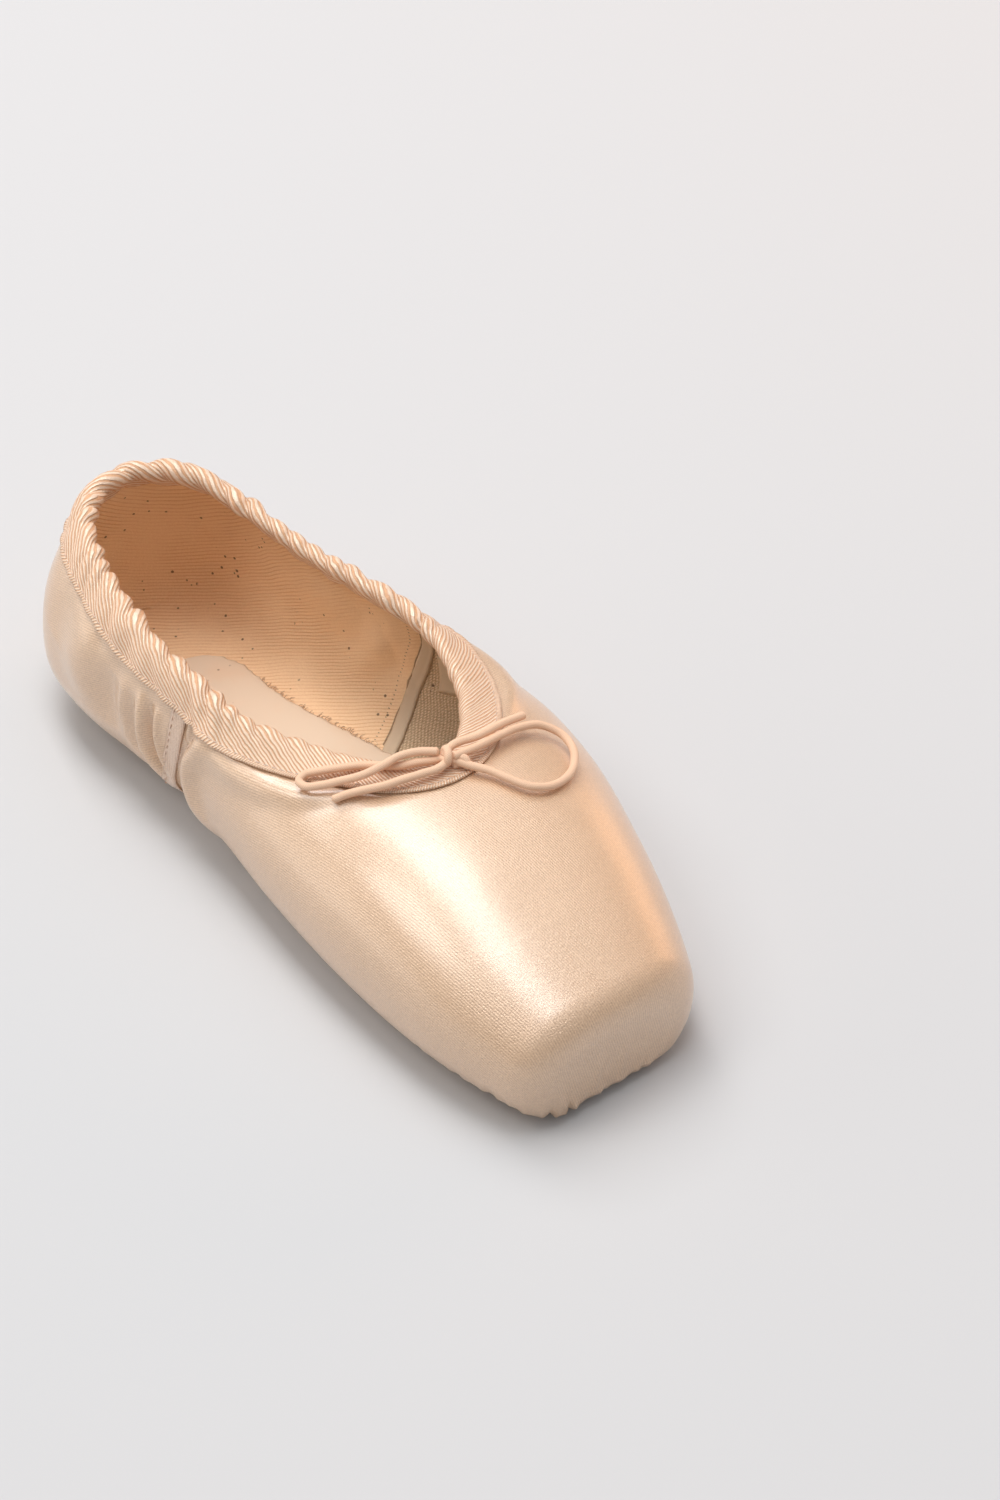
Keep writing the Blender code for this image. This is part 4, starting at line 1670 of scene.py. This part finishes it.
        sheet = np.array(flat).transpose(1, 0, 2)
        closing = sheet[:1].copy()
        closing[..., 0] += round(passed[-1] + (passed[-1] - passed[-2]))
        return np.array(points).transpose(1, 0, 2), np.vstack([sheet, closing])

    def build(self) -> tuple[np.ndarray, np.ndarray]:
        """Makes the tape.

        Returns:
            The line of its stitches and their outward directions.
        """
        line, normal, up = self.frames()
        rows = self.layers(line, normal, up)
        grid, sheet = self.gathered(rows, run_along(line), up)
        made = Bench.grid("collar_tape", np.vstack([grid, grid[:1]]), sheet)
        Bench.weld(made)
        self.face_out(made, normal[0], grid[0, 3])
        Bench.thicken(made, self.thick)
        Bench.hand_in(made, self.finish.material(), "binding_tape", "collar_binding")
        return grid[:, self.stitch_row], rows[self.stitch_row][2]

    @staticmethod
    def face_out(obj: bpy.types.Object, outward: np.ndarray, place: np.ndarray) -> None:
        """Turns an open sheet's faces outward.

        Args:
            obj: the sheet.
            outward: the outward direction.
            place: where it is tested.
        """
        points, normals = Bench.read(obj)
        nearest = int(np.argmin(np.linalg.norm(points - place, axis=1)))
        if normals[nearest].dot(outward) < 0:
            Bench.pick(obj)
            bpy.ops.object.mode_set(mode="EDIT")
            bpy.ops.mesh.select_all(action="SELECT")
            bpy.ops.mesh.flip_normals()
            bpy.ops.object.mode_set(mode="OBJECT")


@dataclass
class Stitching:
    """Rows of sewing: one stitch is modelled and copied along each row."""

    pitch: float = 2.4 * MM
    length: float = 1.5 * MM
    radius: float = 0.17 * MM

    def stitch(self) -> tuple[np.ndarray, list]:
        """Models one stitch, along x and arched over the cloth.

        Returns:
            Its points and its faces.
        """
        Bench.clear_selection()
        bpy.ops.mesh.primitive_uv_sphere_add(segments=8, ring_count=6, radius=1.0)
        made = bpy.context.object
        points, _ = Bench.read(made)
        faces = sorted(tuple(p.vertices) for p in made.data.polygons)
        bpy.data.objects.remove(made, do_unlink=True)
        turned = np.column_stack([points[:, 2], points[:, 0], -points[:, 1]])
        shaped = turned * (self.length / 2, self.radius, self.radius)
        shaped[:, 2] += 0.5 * self.radius * (1 - (shaped[:, 0] / (self.length / 2)) ** 2)
        return shaped, faces

    def sew(
        self, name: str, line: np.ndarray, normals: np.ndarray, material: bpy.types.Material
    ) -> bpy.types.Object:
        """Sews along a line on a surface.

        Args:
            name: the piece's name.
            line: points of the row.
            normals: outward directions there.
            material: the thread.

        Returns:
            The row of stitches as one piece.
        """
        run = run_along(line)
        shaped, faces = self.stitch()
        points, polygons = [], []
        for at in np.arange(self.pitch / 2, run[-1] - self.length / 2, self.pitch):
            middle = np.array([np.interp(at, run, line[:, k]) for k in range(3)])
            ahead = np.array([np.interp(at + 0.4 * MM, run, line[:, k]) for k in range(3)]) - middle
            out = np.array([np.interp(at, run, normals[:, k]) for k in range(3)])
            ahead /= np.linalg.norm(ahead)
            out -= ahead * out.dot(ahead)
            out /= np.linalg.norm(out)
            frame = np.stack([ahead, np.cross(out, ahead), out])
            base = sum(len(p) for p in points)
            points.append(middle + shaped @ frame)
            polygons += [tuple(base + i for i in face) for face in faces]
        mesh = bpy.data.meshes.new(name)
        mesh.from_pydata(np.vstack(points).tolist(), [], polygons)
        made = Bench.place(name, mesh)
        Bench.weld(made, 1e-7)
        return Bench.hand_in(made, material, "binding_tape")


@dataclass
class SideSeams:
    """Outside tape and stitches of the side seams, and the facings inside."""

    skin: Skin
    inside: BVHTree
    stitching: Stitching
    tape_width: float = 5.6 * MM
    thick: float = 0.3 * MM
    behind_seam: float = 0.003
    facing_start: float = 0.0016
    facing_width: float = 0.0185

    def strip(
        self, name: str, rows: list, lift: float, material: bpy.types.Material, slot: str
    ) -> bpy.types.Object:
        """Narrow tape laid over rows of points.

        Args:
            name: the piece's name.
            rows: for each place along the tape, its points and outward normals from edge to edge.
            lift: height of the tape's face over the points.
            material: its finish.
            slot: the record's material slot.

        Returns:
            The tape.
        """
        points = np.array([[p + n * lift for p, n in row] for row in rows])
        run = run_along(points[:, 0])
        across = np.linalg.norm(points[:, :] - points[:, :1], axis=2)
        flat = np.stack([np.broadcast_to(run[:, None], across.shape), across], axis=2)
        made = Bench.grid(name, points, flat)
        Binding.face_out(made, np.array(rows[len(rows) // 2][0][1]), points[len(rows) // 2, 0])
        Bench.thicken(made, self.thick)
        return Bench.hand_in(made, material, slot)

    def build(
        self, tape: bpy.types.Material, facing: bpy.types.Material, thread: bpy.types.Material
    ) -> None:
        """Makes both seams.

        Args:
            tape: finish of the outside tape.
            facing: finish of the facings and the label.
            thread: finish of the stitches.
        """
        length = self.skin.last.length
        width = self.tape_width / length
        for side, word in ((1, "far"), (-1, "near")):
            seam = ((0.613, 0.90), *SEAM[2:])
            columns = [tuple((s + self.behind_seam + width * k / 6, r) for s, r in seam) for k in range(7)]
            laid = [self.skin.line(side, column, 60) for column in columns]
            rows = [[(laid[k][0][i], laid[k][1][i]) for k in range(7)] for i in range(60)]
            self.strip(f"side_seam_tape_{word}", rows, 0.45 * MM, tape, "satin")
            for shift, name in ((self.behind_seam + width * 0.82, "back"), (-0.021, "front")):
                row = tuple((s + shift, r) for s, r in seam)
                line, normals = self.skin.line(side, row, 90)
                raised = line + normals * (0.5 * MM if shift > 0 else 0.05 * MM)
                self.stitching.sew(f"side_seam_stitches_{word}_{name}", raised, normals, thread)
            self.facing(side, word, facing)
        self.label(facing)

    def facing(self, side: int, word: str, material: bpy.types.Material) -> None:
        """Folded strip in front of the seam inside the shoe.

        Args:
            side: 1 for the far side and -1 for the near side.
            word: the side's name.
            material: its finish.
        """
        rows = []
        for share, rise in even_places(FACING[1:], 70):
            row = []
            for k in range(9):
                t = k / 8
                base, out = self.inner(side, share - self.facing_start - self.facing_width * t, rise)
                fold = 0.35 * math.sin(math.pi * t) + 0.5 * math.exp(-(((t - 0.82) / 0.10) ** 2))
                row.append((base + out * fold * MM, out))
            rows.append(row)
        self.strip(f"seam_facing_{word}", rows, 0.22 * MM, material, "sock_lining")

    def label(self, material: bpy.types.Material) -> None:
        """Bare cloth label sewn inside the far side of the vamp.

        Args:
            material: its finish.
        """
        rows = []
        for t in np.linspace(0, 1, 12):
            row = []
            for k in np.linspace(0, 1, 12):
                share = (0.580 - 0.036 * k) * (1 - t) + (0.577 - 0.034 * k) * t
                rise = (0.640 + 0.050 * k) * (1 - t) + (0.410 + 0.040 * k) * t
                row.append(self.inner(1, share, rise))
            rows.append(row)
        self.strip("label", rows, 0.35 * MM, material, "sock_lining")

    def inner(self, side: int, share: float, rise: float) -> tuple[np.ndarray, np.ndarray]:
        """Finds a spot on the inside of the lining.

        Args:
            side: 1 for the far side and -1 for the near side.
            share: share along the length.
            rise: rise up the wall.

        Returns:
            The place and its direction into the shoe.
        """
        place, normal = self.skin.at(side, share, rise)
        found, _, _, _ = self.inside.ray_cast(place - normal * 4 * MM, normal)
        base = found if found is not None else place - normal * self.skin.last.wall
        return np.array(base), -np.array(normal)


@dataclass
class Insole:
    """Pale sock glued over the inner sole."""

    last: Last
    stations: int = 130
    columns: int = 34
    thick: float = 1.4 * MM
    toe_round: float = 0.022
    heel_round: float = 0.017
    round_power: float = 2.2
    threads: int = 70
    frayed: tuple = (18 * MM, 62 * MM)
    finish: Sock = field(default_factory=Sock)

    def build(self) -> None:
        """Makes the sock as a slightly crowned sheet with a rounded heel end."""
        last = self.last
        eased = 0.5 - 0.5 * np.cos(np.linspace(0.03, math.pi - 0.03, self.stations))
        share = last.sock_from + (last.sock_to - last.sock_from) * eased
        front = last.rounded((share - last.sock_from) * last.length, self.toe_round, self.round_power)
        back = last.rounded((last.sock_to - share) * last.length, self.heel_round, self.round_power)
        half = last.blend(last.sections, 3, share) * last.ball_width / 2 - last.sock_clearance
        half = half * front * back
        ragged = 0.25 * np.sin(share * 410) + 0.18 * np.sin(share * 173 + 1)
        across = np.linspace(-1, 1, self.columns + 1)[None, :]
        x = last.centre(share)[:, None] + across * (half + ragged * MM)[:, None]
        y = np.broadcast_to(((share - 0.5) * last.length)[:, None], x.shape)
        base = last.sole + 2 * last.gap + last.wall + last.sock_thick
        crown = 0.35 * MM * (1 - across**2) - 0.5 * MM * np.abs(across) ** 14
        z = last.lift(share)[:, None] + base + crown
        points = np.stack([x, y, z], axis=2)
        made = Bench.grid("sock", points, points[..., :2])
        Binding.face_out(made, np.array((0, 0, 1.0)), points[self.stations // 2, self.columns // 2])
        Bench.thicken(made, self.thick)
        Bench.hand_in(made, self.finish.material(), "sock_lining", "insole")
        self.fray(points[:, -1])

    def fray(self, edge: np.ndarray) -> None:
        """Loose brown threads along the far edge.

        Args:
            edge: points of the edge, from the toe to the heel.
        """
        rng = np.random.default_rng(11)
        spots = edge[(edge[:, 1] > self.frayed[0]) & (edge[:, 1] < self.frayed[1])]
        threads = []
        for k in range(self.threads):
            start = spots[rng.integers(len(spots))] + np.array((-0.5, rng.uniform(-0.9, 0.9), -0.3)) * MM
            reach = np.array((rng.uniform(0.8, 1.9), rng.uniform(-0.5, 0.9), rng.uniform(0.2, 0.8))) * MM
            bend = np.array((0.0, rng.uniform(-0.4, 0.4), rng.uniform(0.2, 0.5))) * MM
            route = [start, start + reach * 0.5 + bend, start + reach]
            threads.append(Tube(route, 0.11 * MM, 0.3 * MM, 6).build(f"thread_{k}"))
        made = Bench.join(threads, "sock_fray")
        Bench.hand_in(made, FRAYED.material(), "sock_lining")


@dataclass
class Outsole:
    """Leather sole, kept as its solid."""

    solid: bpy.types.Object
    finish: SoleLeather = field(default_factory=SoleLeather)

    def build(self) -> None:
        """Gives the solid its leather."""
        materials = self.solid.data.materials
        materials.clear()
        materials.append(self.finish.material())
        LOG.info("%s: %d faces", self.solid.name, len(self.solid.data.polygons))


@dataclass(frozen=True)
class Lamp:
    """Soft rectangular lamp that faces the shoe: metres and watts."""

    name: str
    place: tuple
    size: tuple
    power: float
    colour: Colour


@dataclass
class Studio:
    """Floor, lights and camera."""

    target: tuple = (0.0325, -0.0145, 0.02)
    azimuth: float = math.radians(-37.34)
    elevation: float = math.radians(42.79)
    distance: float = 0.9178
    lens: float = 81.6

    floor_size: float = 24.0
    floor_colour: Colour = (0.625, 0.628, 0.635)
    sky_colour: Colour = (0.95, 0.965, 0.99)
    lamps: tuple = (
        Lamp("overhead", (0.12, 0.74, 2.1), (0.80, 2.7), 39.0, (1.0, 0.98, 0.975)),
        Lamp("left", (-1.2, 0.75, 1.95), (0.9, 0.9), 10.0, (1.0, 0.97, 0.93)),
        Lamp("right", (1.2, 0.1, 0.35), (0.6, 0.5), 2.4, (1.0, 0.50, 0.24)),
    )

    # Columns: height of the direction, brightness of the surroundings
    levels: tuple = ((0.001, 0.85), (0.07, 0.65), (0.20, 0.26), (0.48, 0.24), (0.72, 0.54), (0.999, 0.80))

    def camera(self) -> None:
        """Sets the camera at the photo's angle."""
        ca, sa = math.cos(self.azimuth), math.sin(self.azimuth)
        ce, se = math.cos(self.elevation), math.sin(self.elevation)
        back = Vector((sa * ce, -ca * ce, se))
        right = Vector((ca, sa, 0.0))
        up = back.cross(right)
        data = bpy.data.cameras.new("camera")
        data.lens = self.lens
        data.sensor_width = 36.0
        made = Bench.place("camera", data)
        turned = Matrix((right, up, back)).transposed().to_4x4()
        made.matrix_world = Matrix.Translation(Vector(self.target) + back * self.distance) @ turned
        bpy.context.scene.camera = made

    @staticmethod
    def hang(lamp: Lamp) -> None:
        """Adds one lamp.

        Args:
            lamp: its facts.
        """
        data = bpy.data.lights.new(lamp.name, "AREA")
        data.shape = "RECTANGLE"
        data.size, data.size_y = lamp.size
        data.energy = lamp.power
        data.color = lamp.colour
        made = Bench.place(lamp.name, data)
        made.location = lamp.place
        facing = Vector((0, 0, 0.02)) - Vector(lamp.place)
        made.rotation_euler = facing.to_track_quat("-Z", "Y").to_euler()

    def sun(self, name: str, place: tuple, spread: float, power: float, colour: Colour) -> None:
        """Adds even light from one direction.

        Args:
            name: the light's name.
            place: direction that it comes from.
            spread: its width in degrees.
            power: its strength.
            colour: its colour.
        """
        data = bpy.data.lights.new(name, "SUN")
        data.angle = math.radians(spread)
        data.energy = power
        data.color = colour
        made = Bench.place(name, data)
        made.rotation_euler = Vector(place).to_track_quat("Z", "Y").to_euler()

    def build(self) -> None:
        """Makes the floor and the lights."""
        bpy.ops.mesh.primitive_plane_add(size=self.floor_size)
        floor = bpy.context.object
        floor.name = "floor"
        paint = Shading("floor_paint")
        floor.data.materials.append(paint.dress(self.floor_colour, 0.9, Specular_IOR_Level=0.1))
        for lamp in self.lamps:
            self.hang(lamp)
        self.sun("near", (-0.74, 0.66, 0.10), 44.0, 0.55, (1.0, 0.91, 0.82))
        self.sky()

    def sky(self) -> None:
        """Lights the shoe from all round, by the table of levels."""
        world = bpy.data.worlds.new("studio")
        world.use_nodes = True
        tree = world.node_tree
        background = tree.nodes["Background"]
        background.inputs[0].default_value = (*self.sky_colour, 1.0)
        place = tree.nodes.new("ShaderNodeTexCoord")
        split = tree.nodes.new("ShaderNodeSeparateXYZ")
        ramp = tree.nodes.new("ShaderNodeValToRGB")
        ramp.color_ramp.elements[0].color = (0.85, 0.85, 0.85, 1.0)
        for at, level in self.levels:
            stop = ramp.color_ramp.elements.new(at)
            stop.color = (level, level, level, 1.0)
        tree.links.new(place.outputs["Generated"], split.inputs[0])
        tree.links.new(split.outputs[2], ramp.inputs[0])
        tree.links.new(ramp.outputs[0], background.inputs[1])
        bpy.context.scene.world = world
        bpy.context.scene.view_settings.view_transform = "Standard"


def main() -> None:
    """Builds the studio and the shoe's pieces in order."""
    logging.basicConfig(level=logging.INFO, format="%(name)s %(message)s")
    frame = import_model()
    studio = Studio()
    studio.camera()
    Drawstring().build()
    last = Last()
    upper = Upper(last)
    skin = upper.build()
    inside = Lining(upper).build()
    stitched, facing = Binding(last, skin).build()
    thread = Thread().material()
    stitching = Stitching()
    stitching.sew("binding_stitches", stitched, facing, thread)
    tape = SEAM_TAPE.material()
    SideSeams(skin, inside, stitching).build(tape, SEAM_FACING.material(), thread)
    Insole(last).build()
    Outsole(frame["nodes"]["outsole"]).build()
    studio.build()


if __name__ == "__main__":
    main()
